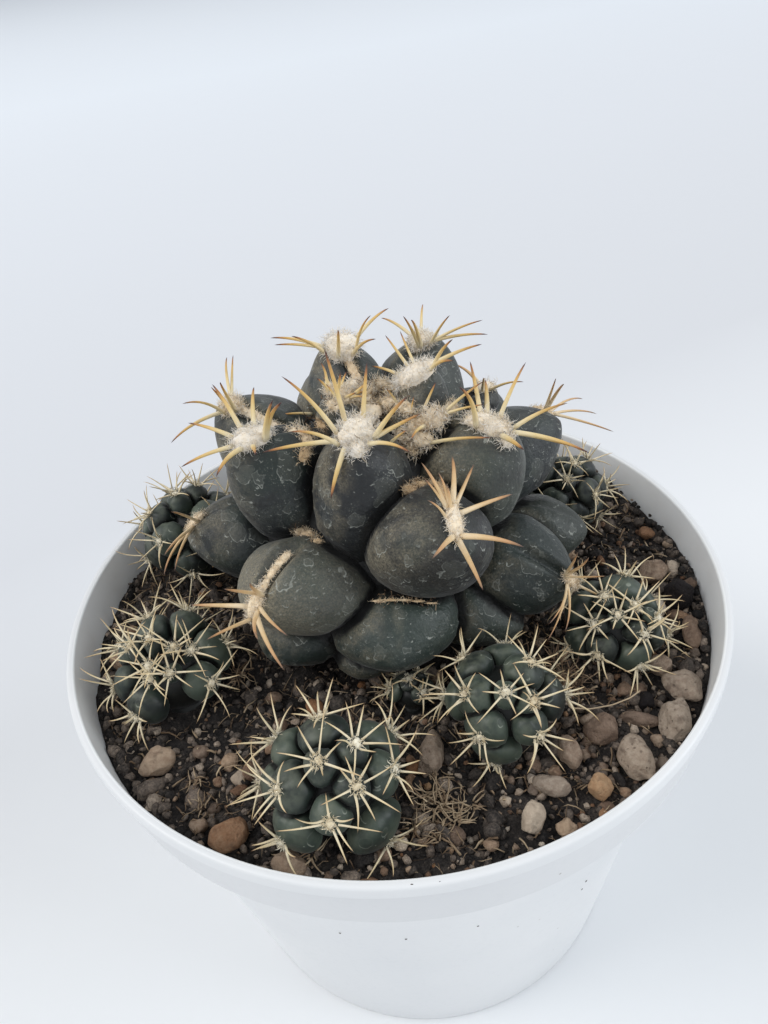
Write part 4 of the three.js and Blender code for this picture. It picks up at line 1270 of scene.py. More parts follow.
def make_grit(material):
    """Small gravel over the bed, densest at the front right."""
    rng = np.random.default_rng(21)
    heap = Heap()
    for count, low, high, level, seed in GRIT:
        size = low + (high - low) * rng.random(count) ** 1.6
        x, y, free = free_places(rng, count, size)
        side = np.clip((x - y) / 90 + 0.45, 0.15, 1)
        free &= rng.random(count) < side
        halves = size[:, None] * rng.uniform(0.7, 1.2, (count, 3))
        halves[:, 2] *= 0.8
        ways = rng.uniform(0, 2 * np.pi, (count, 2)) * (1, 0.08)
        places = np.stack((x, y, ground(x, y) + size * 0.45), axis=-1)
        warm = rng.beta(1.4, 2.4, count)
        pale = np.clip(rng.normal(0.5, 0.2, count), 0.05, 0.98)
        values = {"warm": warm[free], "pale": pale[free], "porous": 0.3}
        add_lumps(heap, places[free], halves[free], ways[free], level, 0.25, seed, 7, **values)
    for k, (pixel, size, warm, pale) in enumerate(SEEN_PEBBLES):
        x, y, _ = on_level(pixel, SOIL["level"])
        place = np.array([[x, y, float(ground(np.array([x]), np.array([y]))[0]) + size * 0.5]])
        halves, ways = size * np.array([[1, 0.85, 0.75]]), np.array([[k * 1.1, 0.1]])
        add_lumps(heap, place, halves, ways, 3, 0.16, 70 + k, 9, warm=warm, pale=pale, porous=0.3)
    for centre, size, turn in fused_pebbles():
        seed = round(float(centre[0] * 10))
        halves, ways = np.full((1, 3), size * 0.9), np.array([[turn, 0]])
        warm, pale = 0.2 + 0.3 * abs(jitter(seed, 7)), 0.5 + 0.2 * jitter(seed, 8)
        add_lumps(heap, centre[None], halves, ways, 3, 0.1, abs(seed), 12, warm=warm, pale=pale, porous=0.3)
    piece("soil_grit", heap, material, ["soil"], "gravel")


def fused_pebbles():
    """The even spread of half-sunk pebbles: centre, half-width and turn of each."""
    near, far = SOIL["pebble_zone"]
    for i in range(SOIL["pebbles"]):
        angle = np.radians(i * OFFSET["golden_turn"])
        reach = near + (far - near) * np.sqrt((i + 0.5) / SOIL["pebbles"])
        x, y = polar(reach, angle)
        size = SOIL["pebble_size"] * (1 + SOIL["pebble_spread"] * jitter(i, 3))
        room = size + SOIL["pebble_room"]
        clear = all(np.hypot(x - cx, y - cy) > radius + room for cx, cy, radius in OFFSET_SPOTS)
        pits = [(cx, cy, PIT_MOUTH * max(sizes) / 2) for cx, cy, *sizes in STONE_SPOTS]
        clear &= all(np.hypot(x - cx, y - cy) > half + room for cx, cy, half in pits)
        if clear and np.hypot(x - HEART[0], y - HEART[1]) > SHOULDER + room:
            yield np.array((x, y, soil_height(x, y))), size, np.pi * jitter(i, 4)


def make_fibres(material):
    """Peat fibres and fine dry roots that lie on the bed."""
    rng = np.random.default_rng(8)
    heap = Heap()
    count, steps = FIBRES["count"], FIBRES["steps"]
    x, y, free = free_places(rng, count, 0.6)
    length = FIBRES["least"] + FIBRES["spread"] * rng.random(count) ** 2
    way = rng.uniform(0, 2 * np.pi, count)
    bend = rng.normal(0, FIBRES["bend"], (count, steps)).cumsum(axis=1)
    dx, dy = polar((length / steps)[:, None], way[:, None] + bend)
    px, py = x[:, None] + dx.cumsum(axis=1), y[:, None] + dy.cumsum(axis=1)
    free &= np.hypot(px, py).max(axis=1) < FIBRES["reach"]
    for cx, cy, radius in OFFSET_SPOTS:
        free &= np.hypot(px - cx, py - cy).min(axis=1) > radius * 0.5
    lift = 0.35 + 0.5 * np.abs(np.sin(np.linspace(0.2, 2.9, steps) + rng.uniform(0, 1, (count, 1))))
    pz = ground(px, py) + lift * rng.uniform(0.6, 2.2, (count, 1))
    lines = np.stack((px, py, pz), axis=-1)[free]
    thick = 0.06 + 0.2 * rng.random(count)[free] ** 2
    taper = np.linspace(1, 0.5, steps)
    add_tubes(heap, lines, thick[:, None] * taper, 3, tone=rng.beta(2, 2, count)[free])
    for star in DRY_STARS:
        add_dry_star(heap, rng, *star)
    add_strand(heap, LONG_HAIR, 0.14, 0.85)
    piece("soil_fibres", heap, material, ["soil"], "soil")


def on_level(pixel, z):
    """Where a pixel's ray meets a height."""
    way = ray(pixel)
    return EYE + way * (z - EYE[2]) / way[2]


def add_dry_star(heap, rng, pixel, lift, length, count, tone):
    """A cluster of dead spines."""
    centre = on_level(pixel, SOIL["level"] + lift)
    ways = unit(rng.normal(size=(count, 3)) * (1, 1, 0.55) + (0, 0, 0.25))
    lengths = length * rng.uniform(0.55, 1.1, count)
    roots = centre + ways * 0.3 + rng.normal(size=(count, 3)) * (0.5, 0.5, 0.2)
    lines = strands(rng, roots, ways, lengths, 0.17, 5)
    lines[..., 2] = np.maximum(lines[..., 2], ground(lines[..., 0], lines[..., 1]) + 0.2)
    radii = tapers(rng, lines, 0.12, 0.2, 0.3)
    add_tubes(heap, lines, radii, 4, tone=np.clip(tone + 0.12 * rng.normal(size=count), 0, 1))


def add_strand(heap, pixels, radius, tone):
    """One long fibre through points seen in the photograph, each with its height over the soil."""
    knots = np.array([on_level(pixel, SOIL["level"] + lift) for *pixel, lift in pixels])
    place = np.linspace(0, len(knots) - 1, 24)
    before = np.minimum(place.astype(int), len(knots) - 2)
    share = (place - before)[:, None]
    share = share * share * (3 - 2 * share) * 0.5 + share * 0.5
    line = knots[before] * (1 - share) + knots[before + 1] * share
    add_tubes(heap, line[None], np.full((1, 24), radius), 5, tone=tone)


def make_stones(material):
    """The loose stones, each a piece of its own."""
    for i, (kind, x, y, length, width, height, turn, lift, warm, pale) in enumerate(STONES):
        heap = Heap()
        gravel = kind == "gravel"
        base, faces = ball(4)
        salt = i * 9.1
        cut = faceted(base, np.random.default_rng(i), 1, 10 if gravel else 12, 0.78)[0]
        swell = 1.12 * cut * (1 + 0.1 * rough(base + salt, 0.9, i))
        swell += (0.03 if gravel else 0.05) * rough(base + salt, 0.3, i + 40)
        half = np.array((length, width, height)) / 2
        along, across, above = (base * swell[:, None] * half).T
        cos, sin = polar(1, np.radians(turn))
        px, py = along * cos - across * sin + x, along * sin + across * cos + y
        points = np.stack((px, py, above + SOIL["level"] + lift), axis=-1)
        heap.add(points, [faces], warm=warm, pale=pale, porous=0.35 if gravel else 1)
        piece(f"stone_{i + 1}", heap, material, [f"{kind}_{i + 1}"], STONE_SLOTS[kind])


# Tubercles


def egg_width(t, below=0.0):
    """The egg's width, as a share of its widest. Below it is fuller towards the root."""
    return np.clip(np.sin(np.pi * t ** (EGG["shift"] - EGG["keel"] * below)), 0, None) ** EGG["blunt"]


class Tubercle:
    """An egg from its root along its axis, with its wool on the upper side of its tip or at the very tip."""

    def __init__(self, root, axis, length, width, height, turn=0.0, roll=0.0, areole=1, bend=(0, 0, 0)):
        self.root, self.axis, self.length = root, axis, length
        self.bend = np.array(bend) - axis * (axis @ bend)
        self.width, self.height, self.turn = width, height, np.radians(turn)
        level = np.hypot(axis[0], axis[1]) > 1e-3
        across = unit(np.array((-axis[1], axis[0], 0))) if level else np.array((1.0, 0, 0))
        self.across = turned_about(across, axis, np.radians(-roll))
        self.up = np.cross(axis, self.across)
        self.tip = root + axis * length
        self.areole, self.keeled = areole, areole < 1
        self.centre, self.out = self.on_back(areole) if self.keeled else (self.tip, self.axis)
        self.back = np.cross(self.out, self.across) if self.keeled else self.up

    def middle(self, t):
        """The point on the centre line at a share of the length."""
        t = np.asarray(t)[..., None]
        return self.root + self.axis * self.length * t + self.bend * (1 - t) ** 2

    def on_back(self, t):
        """A point on the ridge of the tubercle's back, and the way out of the skin there."""
        step = 1e-3
        slope = self.height / 2 * (egg_width(t + step) - egg_width(t - step)) / (2 * step)
        point = self.middle(t) + self.up * self.height / 2 * egg_width(t)
        return point, unit(self.up * self.length - self.axis * slope)

    def inside(self, points, margin=0.0):
        """How deep points lie, in millimetres: positive inside, about zero at the surface."""
        t = (points - self.root) @ self.axis / self.length
        offset = points - self.middle(np.clip(t, 0, 1))
        x, y = offset @ self.across, offset @ self.up
        below = np.clip(-y / (np.hypot(x, y) + 1e-6), 0, 1) * self.keeled
        wide = egg_width(np.clip(t, 0, 0.97), below)
        half_x, half_y = self.width / 2 * wide + 1e-6, self.height / 2 * wide + 1e-6
        share = np.hypot(x / half_x, y / half_y)
        depth = (1 - share) * np.minimum(half_x, half_y)
        beyond = np.maximum(t - 1, 0) * self.length
        depth = np.where(t > 1, np.minimum(depth, -beyond), depth)
        return np.where(t > 0, depth, -99) + margin


def spokes(tubercle, t, angle):
    """From the centre line to the plain egg's skin, at shares of the length and at angles."""
    below = np.clip(-np.sin(angle), 0, 1) * tubercle.keeled
    across = np.cos(angle)[:, None] * tubercle.across * tubercle.width / 2
    upward = np.sin(angle)[:, None] * tubercle.up * tubercle.height / 2
    return egg_width(t[:, None], below)[..., None] * (across + upward)


def furrow_dip(tubercle, t, angle, aside, furrow):
    """How far the furrow up the back lowers the skin, less the lips that line it."""
    deep, half, start = furrow
    above = np.clip(np.sin(angle), 0, 1)[None]
    window = smooth(t, start, start + 0.18) * (1 - smooth(t, tubercle.areole - 0.05, tubercle.areole + 0.03))
    depth = deep * np.exp(-((aside / half) ** 2)) * window[:, None] * above
    lips = 0.28 * deep * np.exp(-(((aside - 1.9 * half) / half) ** 2)) * window[:, None] * above
    return depth - lips


def nearness(points, others, start):
    """How near points lie to other tubercles: 0 from a distance on, and 1 at their skin."""
    flat = points.reshape(-1, 3)
    nearest = np.full(len(flat), -99.0)
    for other in others:
        nearest = np.maximum(nearest, other.inside(flat))
    return np.clip(1 + nearest.reshape(points.shape[:2]) / start, 0, 1) ** 2


def flesh(heap, tubercle, others, rings, sides, furrow, crease, **values):
    """The tubercle's skin, uneven, with a furrow up its back and a rounded cleft towards each neighbour."""
    share = np.linspace(0.16, 1, rings + 1)[:-1]
    t = (np.sin(np.pi * (share - 0.5)) + 1) / 2
    even = 2 * np.pi * np.arange(sides) / sides
    angle = even + 0.5 * np.cos(even)  # closest at the furrow
    middle, offset = tubercle.middle(t[:, None]), spokes(tubercle, t, angle)
    points, size = middle + offset, tubercle.width
    lumps = 0.034 * rough(points, size * 0.55, 3, 2) + 0.012 * rough(points, size * 0.17, 8)
    offset = offset * (1 + lumps)[..., None]
    aside = np.abs(offset @ tubercle.across)
    offset = offset - tubercle.up * furrow_dip(tubercle, t, angle, aside, furrow)[..., None]

    start, depth = crease
    cleft = nearness(middle + offset, others, start)
    shrink = 1 - depth * cleft / np.maximum(np.linalg.norm(offset, axis=-1), depth * 1.5)
    points, faces = skin(middle + offset * shrink[..., None], tubercle.middle(t[0]), tubercle.tip)
    along = np.concatenate((np.repeat(t, sides), (t[0], 1)))
    # The cleft value also drives painted shade in the skin's finish.
    clefts = np.concatenate((cleft.ravel(), (1, cleft[-1].mean())))
    heap.add(points, faces, along=along, cleft=clefts, **values)


def add_stem(heap, profile, centre, sides, **values):
    """A solid turned about the vertical through centre."""
    rings = np.stack([on_circle(r, z, sides) + (centre[0], centre[1], 0) for r, z in profile[1:-1]])
    start = (centre[0], centre[1], profile[0][1])
    end = (centre[0], centre[1], profile[-1][1])
    heap.add(*skin(rings, start, end), **values)


# Wool and spines


def strands(rng, roots, ways, lengths, wander, steps):
    """Centre lines that leave their roots and wander."""
    way = unit(ways)
    line = [roots]
    for _ in range(steps):
        way = unit(way + wander * rng.normal(size=way.shape))
        line.append(line[-1] + way * (lengths / steps)[:, None])
    return np.stack(line, axis=1)


def add_wool(heap, rng, centre, out, back, size, count, hair, age, core=(3, 0.72)):
    """A mound under short curly hairs. Hair is length and radius, core the mound's fineness and share."""
    across = np.cross(back, out)
    axes = np.stack((across * size[1], back * size[0], out * size[2]))
    base, faces = ball(core[0])
    places = base * np.cbrt(np.prod(size)) + centre
    fuzz = core[1] + 0.13 * rough(places, 1.5, 2, 2) + 0.09 * rough(places, 0.5, 12, 2)
    heap.add(centre + (base * fuzz[:, None]) @ axes, [faces], along=0, age=np.clip(age + 0.08, 0, 1))
    way = hemisphere(rng, count)
    roots = centre + (way * rng.uniform(core[1] - 0.15, 0.92, (count, 1))) @ axes
    normals = unit((way / np.array((size[1], size[0], size[2]))) @ np.stack((across, back, out)))
    leave = unit(normals * 0.8 + rng.normal(size=(count, 3)))
    lengths = hair[0] * rng.uniform(0.4, 1.15, count)
    lines = strands(rng, roots, leave, lengths, 0.75, 2)
    radii = hair[1] * rng.uniform(0.7, 1.3, (count, 1)) * np.linspace(1, 0.6, 3)
    add_tubes(heap, lines, radii, 3, age=np.clip(age + 0.1 * rng.normal(size=count), 0, 1))


def hemisphere(rng, count):
    """Random ways, nearly all above the level."""
    way = unit(rng.normal(size=(count, 3)))
    way[:, 2] = np.abs(way[:, 2]) * 0.9 - 0.15
    return unit(way)


def add_strip(heap, rng, tubercle, start, half, high, brown):
    """Wool in a tubercle's furrow, from a share of its length to the areole."""
    length = (tubercle.areole - start) * tubercle.length
    for t in np.linspace(start, tubercle.areole - 0.01, max(2, round(length / 1.3))):
        centre, out = tubercle.on_back(t)
        back = np.cross(out, tubercle.across)
        size = (2, half * rng.uniform(0.8, 1.2), high)
        add_wool(heap, rng, centre - out * 0.3, out, back, size, 90, (1.1, 0.045), brown)


VIEW_DEPTHS = np.arange(90, 230, 0.2)  # how far from the camera the old head is looked for


def landing(pixel):
    """Where a pixel's ray meets the old head's tubercles."""
    places = EYE + ray(pixel) * VIEW_DEPTHS[:, None]
    depth = np.max([tubercle.inside(places) for tubercle in main_head.tubercles], axis=0)
    return places[np.argmax(depth > 0)]


def add_tufts(heap, shreds, rng):
    """Loose wool where the photograph shows it, lying on the skin, with brown bits in it."""
    out = unit(np.array(PHOTO_UP) * 0.4 - FORWARD)
    back = unit(UP - out * (UP @ out))
    for pixel, wide, tall, high, brown in TUFTS:
        centre = landing(pixel)
        count = round(44 * wide * tall)
        hair = (min(1.8, 0.4 + 0.8 * tall), 0.05)
        add_wool(heap, rng, centre, out, back, (tall, wide, high), count, hair, brown, (3, 0.6))
        bits = round(20 * brown)
        places = centre + out * high * 0.6 + rng.normal(size=(bits, 3)) * 0.8
        lines = strands(rng, places, rng.normal(size=(bits, 3)), rng.uniform(0.5, 2, bits), 0.5, 3)
        radii = tapers(rng, lines, 0.05, 0.13, 0.5)
        add_tubes(shreds, lines, radii, 3, tone=rng.beta(1.5, 2.2, bits))


def spine_line(tubercle, pad, tip, style, seed):
    """A centre line that leaves the wool on the tip's side and stands out in the middle."""
    centre, out = tubercle.centre, tubercle.out
    flat = tip - centre
    flat = unit(flat - out * (flat @ out))
    along, aside = flat @ tubercle.back, flat @ tubercle.across
    spread = tubercle.back * along * pad[0] * SPINE_FOOT[0]
    spread = spread + tubercle.across * aside * pad[1] * SPINE_FOOT[1]
    spread *= min(1, FOOT_REACH * np.linalg.norm(tip - centre) / np.linalg.norm(spread))
    foot = centre + spread + out * pad[2] * SPINE_FOOT[2]
    share = np.linspace(0, 1, style["steps"] + 1)[:, None]
    span = tip - foot
    length = np.linalg.norm(span)
    lift = out - unit(span) * (out @ unit(span))
    bow = style["bow"][0] + style["bow"][1] * jitter(seed, 4)
    knee = foot + span * KNEE + unit(lift) * bow * 2 * length
    return curve(foot, knee, tip, share)


def is_clear(line, head, parent):
    """Whether a spine keeps clear of the soil, the pot, the other heads and the other tubercles."""
    points = line[2:]
    reach = np.hypot(points[:, 0], points[:, 1])
    if np.any(reach > CLEAR["box"]):
        return False
    low = points[:, 2] < POT["height"] + CLEAR["pot"]
    if np.any(low & (reach > SOIL_EDGE - CLEAR["pot"])):
        return False
    if np.any(points[:, 2] < ground(points[:, 0], points[:, 1]) + CLEAR["soil"]):
        return False
    for other in heads:
        if other is not head:
            if other.touches(points, CLEAR["tubercle"]):
                return False
            continue
        for tubercle in head.tubercles:
            if tubercle is not parent and np.any(tubercle.inside(points, CLEAR["tubercle"]) > 0):
                return False
    return True


def fan_tip(tubercle, angle, rise, length):
    """A tip at an angle round the areole and a rise over it, in degrees."""
    a, lift = np.radians((angle, rise))
    flat = tubercle.across * np.cos(a) + tubercle.back * np.sin(a)
    return tubercle.centre + (flat * np.cos(lift) + tubercle.out * np.sin(lift)) * length


def ruled_spine(head, tubercle, pad, seed, angle, style, scale):
    """A spine by the rule, bent clear, or nothing."""
    i = seed % style["count"]
    rise = style["rise"] + (style["rise_spread"] if i % 2 else -style["rise_spread"])
    length = style["length"] * scale * (1 + style["length_spread"] * jitter(seed, 2))
    for lift in CLEAR["lifts"]:
        for turn in CLEAR["turns"]:
            tip = fan_tip(tubercle, angle + turn, rise + lift, length)
            line = spine_line(tubercle, pad, tip, style, seed)
            if is_clear(line, head, tubercle):
                return line
    return None


def near_skin(tubercle, way):
    """Which of the depths along a ray lie in a tubercle or close to it."""
    places = EYE + way * VIEW_DEPTHS[:, None]
    return tubercle.inside(places, SPINE["stand"]) > 0


def seen_spine(tubercle, pad, pixel, scale, seed):
    """The spine whose tip shows at a pixel, as long as the rule says if its ray allows."""
    length, way = SPINE["length"] * scale, ray(pixel)
    middle, half = chord(way, tubercle.centre, length)
    tips = [EYE + way * (middle + sign * half) for sign in (-1, 1)]
    rises = [unit(tip - tubercle.centre) @ tubercle.out for tip in tips]
    wanted = np.sin(np.radians(SPINE["rise"] * 0.8))
    best = min((0, 1), key=lambda k: abs(rises[k] - wanted))
    tip = tips[best]
    near = near_skin(tubercle, way)
    if rises[best] < SPINE["steep"] and np.any(near):
        tip = EYE + way * VIEW_DEPTHS[np.argmax(near)]
    elif rises[best] < 0.05:
        tip = tip + tubercle.out * length * (0.08 - rises[best])
    return spine_line(tubercle, pad, tip, SPINE, seed)


def ruled_angles(tubercle, index, style):
    """A seed and an angle round the areole for each spine by the rule."""
    for i in range(style["count"]):
        seed = index * style["count"] + i
        spread = style["turn_spread"] * jitter(seed, 1)
        yield seed, np.degrees(tubercle.turn) + 360 * (i + 0.5) / style["count"] + spread


def main_spines(head, tubercle, pad, index):
    """The spines of a big tubercle: those that the photograph shows, or else ruled ones."""
    scale = min(1, SPINE["young_scale"] + tubercle.width / SPINE["full_width"])
    if index in SEEN_TIPS:
        made = []
        for i, (*pixel, share) in enumerate(with_share(tip) for tip in SEEN_TIPS[index]):
            made.append((seen_spine(tubercle, pad, pixel, scale * share, index * 20 + i), share))
        return made
    if index in SHORT_SPINED:
        scale *= SPINE["short_share"]
    if index >= HIDDEN_FROM:
        scale *= SPINE["hidden_share"]
    turns = ruled_angles(tubercle, index, SPINE)
    lines = [ruled_spine(head, tubercle, pad, seed, angle, SPINE, scale) for seed, angle in turns]
    lines = [line for line in lines if line is not None]
    return [(line, 1) for line in lines if index < HIDDEN_FROM or not in_view(line[-1])]


def with_share(tip):
    """A seen tip's pixel and its spine's size, which is the full one where the row gives none."""
    return tip if len(tip) > 2 else (*tip, 1)


def in_view(point):
    """Whether the old head leaves a point in sight of the camera."""
    way = unit(EYE - point)
    places = point + way * np.arange(2, 80, 0.5)[:, None]
    return all(np.all(tubercle.inside(places) < 0) for tubercle in main_head.tubercles)


def spine_radii(rng, count, radius, steps):
    """A blunt foot, an even taper and a fine tip."""
    share = np.linspace(0, 1, steps + 1)
    taper = (1 - share) ** 0.58 + 0.04
    return radius * rng.uniform(0.82, 1.12, (count, 1)) * taper


# Heads


class Head:
    """A head of the plant with its tubercles."""

    def __init__(self, name, centre, radius, spiny, bare=()):
        self.name, self.centre, self.radius = name, centre, radius
        self.spiny, self.tubercles = spiny, [*spiny, *bare]

    def touches(self, points, margin):
        """Whether a point lies in the head or within a margin of it."""
        if self.radius:
            return np.any(np.linalg.norm(points - self.centre, axis=-1) < self.radius + margin)
        return any(np.any(t.inside(points, margin) > 0) for t in self.tubercles)


def head_tubercle(row, index=-1):
    """A tubercle of the old head, with the bend and the areole of its index."""
    azimuth, elevation, reach, width, height, *turns = row
    axis = heading(azimuth, elevation)
    root = HEART + axis * EGG["root"]
    aside, above, near = BENDS.get(index, (0, 0, 0))
    areole = TIP_AREOLES.get(index, EGG["areole"])
    bend = RIGHT * aside + UP * above - FORWARD * near
    return Tubercle(root, axis, reach - EGG["root"], width, height, *turns, areole=areole, bend=bend)


def seen_axis(pixel, centre, radius):
    """The way from a head's middle to where a pixel's ray meets it, or passes nearest."""
    way = ray(pixel)
    middle, half = chord(way, centre, radius)
    return unit(EYE + way * (middle - half) - centre)


def spiral_axes(row):
    """The ways of an offset head's tubercles by its spiral."""
    sense, twist, lean, lean_to, step, count = row[4:]
    hinge = heading(lean_to + 90, 0)
    for k in range(count):
        level = 1 - (k + OFFSET["first_step"]) * step
        angle = np.radians(sense * k * OFFSET["golden_turn"] + twist)
        flat = np.sqrt(1 - level * level)
        yield turned_about(np.array((*polar(flat, angle), level)), hinge, np.radians(lean))


def offset_head(index, row):
    """The tubercles that the photograph shows, and the spiral's where there is room."""
    centre, radius, step = np.array(row[:3], float), row[3], row[8]
    pitch = np.sqrt(4 * np.pi / np.sqrt(3) * step)
    axes = [seen_axis(pixel, centre, radius) for pixel in SEEN_AREOLES[index]]
    seen = np.array(axes)
    for axis in spiral_axes(row):
        if np.arccos(np.clip(seen @ axis, -1, 1)).min() > OFFSET["apart"] * pitch:
            axes.append(axis)
    tubercles = []
    for k, axis in enumerate(axes):
        others = np.array([other for j, other in enumerate(axes) if j != k])
        gap = np.arccos(np.clip(others @ axis, -1, 1)).min()
        size = radius * min(OFFSET["width"] * np.sqrt(step), OFFSET["snug"] * gap)
        root = centre + axis * radius * OFFSET["root"]
        length = radius * (1 - OFFSET["root"])
        tubercles.append(Tubercle(root, axis, length, size, size, 36 * jitter(index, k)))
    standing = [t for t in tubercles if t.tip[2] > SOIL["level"] + OFFSET["tip_above"]]
    return Head(f"offset_head_{index + 1}", centre, radius, standing)


spiny = [head_tubercle(row, i) for i, row in enumerate(TUBERCLES)]
main_head = Head("main_head", HEART, 0, spiny, [head_tubercle(row) for row in BARE_TUBERCLES])
offset_heads = [offset_head(i, row) for i, row in enumerate(OFFSETS)]
heads = [main_head, *offset_heads]


def make_main_flesh(material):
    """The old head's tubercles and stem."""
    body = Heap()
    for i, tubercle in enumerate(main_head.tubercles):
        others = [other for other in main_head.tubercles if other is not tubercle]
        elevation = np.degrees(np.arcsin(tubercle.axis[2]))
        fineness = FRONT_SKIN if i < FRONT_TUBERCLES else BACK_SKIN
        furrow = FURROWS.get(i, FURROW) if i < len(main_head.spiny) else BARE_FURROW
        look = {
            "tone": TONES.get(i, 0.6 * jitter(i, 5)),
            "green": float(smooth(-elevation, -22, 0)) * 0.8,
            "worn": WORN_AND_LIT.get(i, 0.35 * max(0, jitter(i, 6))),
        }
        flesh(body, tubercle, others, *fineness, furrow, CREASE, **look)
    stem = [(0, STEM_TIP[0]), *STEM, (0, STEM_TIP[1])]
    add_stem(body, stem, HEART, 32, **HIDDEN_SKIN)
    piece("main_head_flesh", body, material, [main_head.name], "old_skin")


def make_main_pads(rng, horn, felt):
    """The wool pads of the main head and the spines that leave them."""
    wool, horns = Heap(), Heap()
    for i, tubercle in enumerate(main_head.spiny):
        old = np.degrees(np.arcsin(tubercle.axis[2])) < OLD_BELOW
        long, wide, high, brown = WOOL.get(i, OLD_WOOL if old else YOUNG_WOOL)
        centre = tubercle.centre + tubercle.back * max(0, long - PAD_FRONT)
        count, *hair = OLD_HAIRS if old else YOUNG_HAIRS
        if i not in WOOL:
            count = UNSEEN_HAIRS
        add_wool(wool, rng, centre, tubercle.out, tubercle.back, (long, wide, high), count, hair, brown)
        if i in WOOL_STRIPS:
            add_strip(wool, rng, tubercle, *WOOL_STRIPS[i])
        made = main_spines(main_head, tubercle, (long, wide, high), i)
        thick = SPINE["radius"] * min(1, tubercle.width / SPINE["slim_width"]) * SLIM_SPINES.get(i, 1)
        if made:
            radii = spine_radii(rng, len(made), thick, SPINE["steps"])
            thin = SPINE["thin_share"]
            radii *= np.array([thin + (1 - thin) * share for _, share in made])[:, None]
            lines = np.stack([line for line, _ in made])
            add_tubes(horns, lines, radii, SPINE["sides"], age=1.0 if old else 0.5)
    add_crown_spines(horns)
    piece("main_head_spines", horns, horn, [main_head.name])
    piece("main_head_wool", wool, felt, [main_head.name])


def make_loose_wool(rng, felt, fibres):
    """The wool between the tubercles and on the crown, and the shreds caught in it."""
    axils, shreds = Heap(), Heap()
    for tubercle in main_head.spiny:
        add_axil_wool(axils, rng, tubercle)
    add_apex_wool(axils, rng)
    add_tufts(axils, shreds, rng)
    piece("main_head_axil_wool", axils, felt, [main_head.name])
    make_debris(shreds, fibres)


def add_crown_spines(heap):
    """The spines that cross in the crown's wool."""
    out = unit(np.array(PHOTO_UP) * 0.5 - FORWARD)
    share = np.linspace(0, 1, SPINE["steps"] + 1)[:, None]
    lines = []
    for foot_pixel, tip_pixel, nearer, _ in CROWN_SPINES:
        foot, way = landing(foot_pixel), ray(tip_pixel)
        tip = EYE + way * ((foot - EYE) @ FORWARD - nearer) / (way @ FORWARD)
        knee = (foot + tip) / 2 + out * 0.12 * np.linalg.norm(tip - foot)
        lines.append(curve(foot, knee, tip, share))
    radii = spine_radii(np.random.default_rng(71), len(lines), SPINE["radius"], SPINE["steps"])
    radii *= np.array([row[3] for row in CROWN_SPINES])[:, None]
    add_tubes(heap, np.stack(lines), radii, SPINE["sides"], age=0.5)


def make_debris(heap, material):
    """Brown shreds caught in the crown's wool and between the upper tubercles."""
    rng = np.random.default_rng(33)
    count, steps = SHREDS["count"], SHREDS["steps"]
    angle, reach = rng.uniform(0, 2 * np.pi, count), SHREDS["reach"] * np.sqrt(rng.random(count))
    height = STEM_TIP[1] + SHREDS["rise"] - SHREDS["dome"] * reach**2 + rng.uniform(-1.5, 1.5, count)
    x, y = polar(reach, angle)
    roots = np.stack((HEART[0] + x, HEART[1] + y, height), axis=-1)
    ways = rng.normal(size=(count, 3)) * (1, 1, 0.7)
    lines = strands(rng, roots, ways, rng.uniform(1, 3.4, count), 0.45, steps)
    radii = tapers(rng, lines, 0.05, 0.16, 0.5)
    add_tubes(heap, lines, radii, 3, tone=rng.beta(1.5, 2.6, count))
    piece("main_head_debris", heap, material, [main_head.name])


def add_axil_wool(heap, rng, tubercle):
    """Brownish tufts in the cleft behind a tubercle."""
    centre, out = tubercle.on_back(0.42)
    back = np.cross(out, tubercle.across)
    add_wool(heap, rng, centre - out * 0.2, out, back, (3, 3, 1.2), 50, (1.6, 0.045), 0.35, (2, 0.72))


def add_apex_wool(heap, rng):
    """The woolly crown where new tubercles form."""
    for k in range(7):
        angle = np.radians(k * OFFSET["golden_turn"])
        reach = 3 * np.sqrt(k)
        centre = HEART + np.array((*polar(reach, angle), STEM_TIP[1] - HEART[2] + 1.4))
        out = unit(np.array((*polar(0.3, angle), 1)))
        back = unit(np.cross(out, (1.0, 0, 0)))
        add_wool(heap, rng, centre, out, back, (3, 3, 2.2), 120, (2.2, 0.05), 0.2 + 0.1 * (k % 2), (4, 0.66))


def add_tuft(heap, rng, tubercle, size):
    """The small woolly areole of an offset head's tubercle."""
    centre = tubercle.centre - tubercle.out * OFFSET["wool_sunk"]
    base, faces = ball(2)
    axes = np.stack((tubercle.across * size[1], tubercle.back * size[0], tubercle.out * size[2]))
    age = OFFSET["wool"][3] + 0.15 * rng.normal()
    fuzz = 0.46 + 0.2 * rough(base + centre, 0.9, 2)
    heap.add(centre + (base * fuzz[:, None]) @ axes, [faces], along=0, age=age)
    count = OFFSET["hairs"]
    way = hemisphere(rng, count)
    roots = centre + (way * rng.uniform(0.4, 0.8, (count, 1))) @ axes
    leave = unit(way @ unit(axes) + 0.9 * rng.normal(size=(count, 3)))
    lines = strands(rng, roots, leave, rng.uniform(0.5, 1.2, count), 0.8, 2)
    radii = tapers(rng, lines, 0.05, 0.085, 0.6)
    add_tubes(heap, lines, radii, 3, age=np.clip(age + 0.12 * rng.normal(size=count), 0, 1))


def core_profile(head, scale):
    """The outline of an offset head's core and root plug, from its foot up."""
    core, plug = head.radius * OFFSET["core"], head.radius * OFFSET["plug_radius"]
    end = head.centre[2] - head.radius - OFFSET["plug_length"] * scale
    turns = np.radians(OFFSET["core_ring"])
    on_ball = [(core * np.cos(a), head.centre[2] + core * np.sin(a)) for a in turns]
    return [(0, end), (plug, end), (plug, on_ball[0][1]), *on_ball, (0, head.centre[2] + core)]


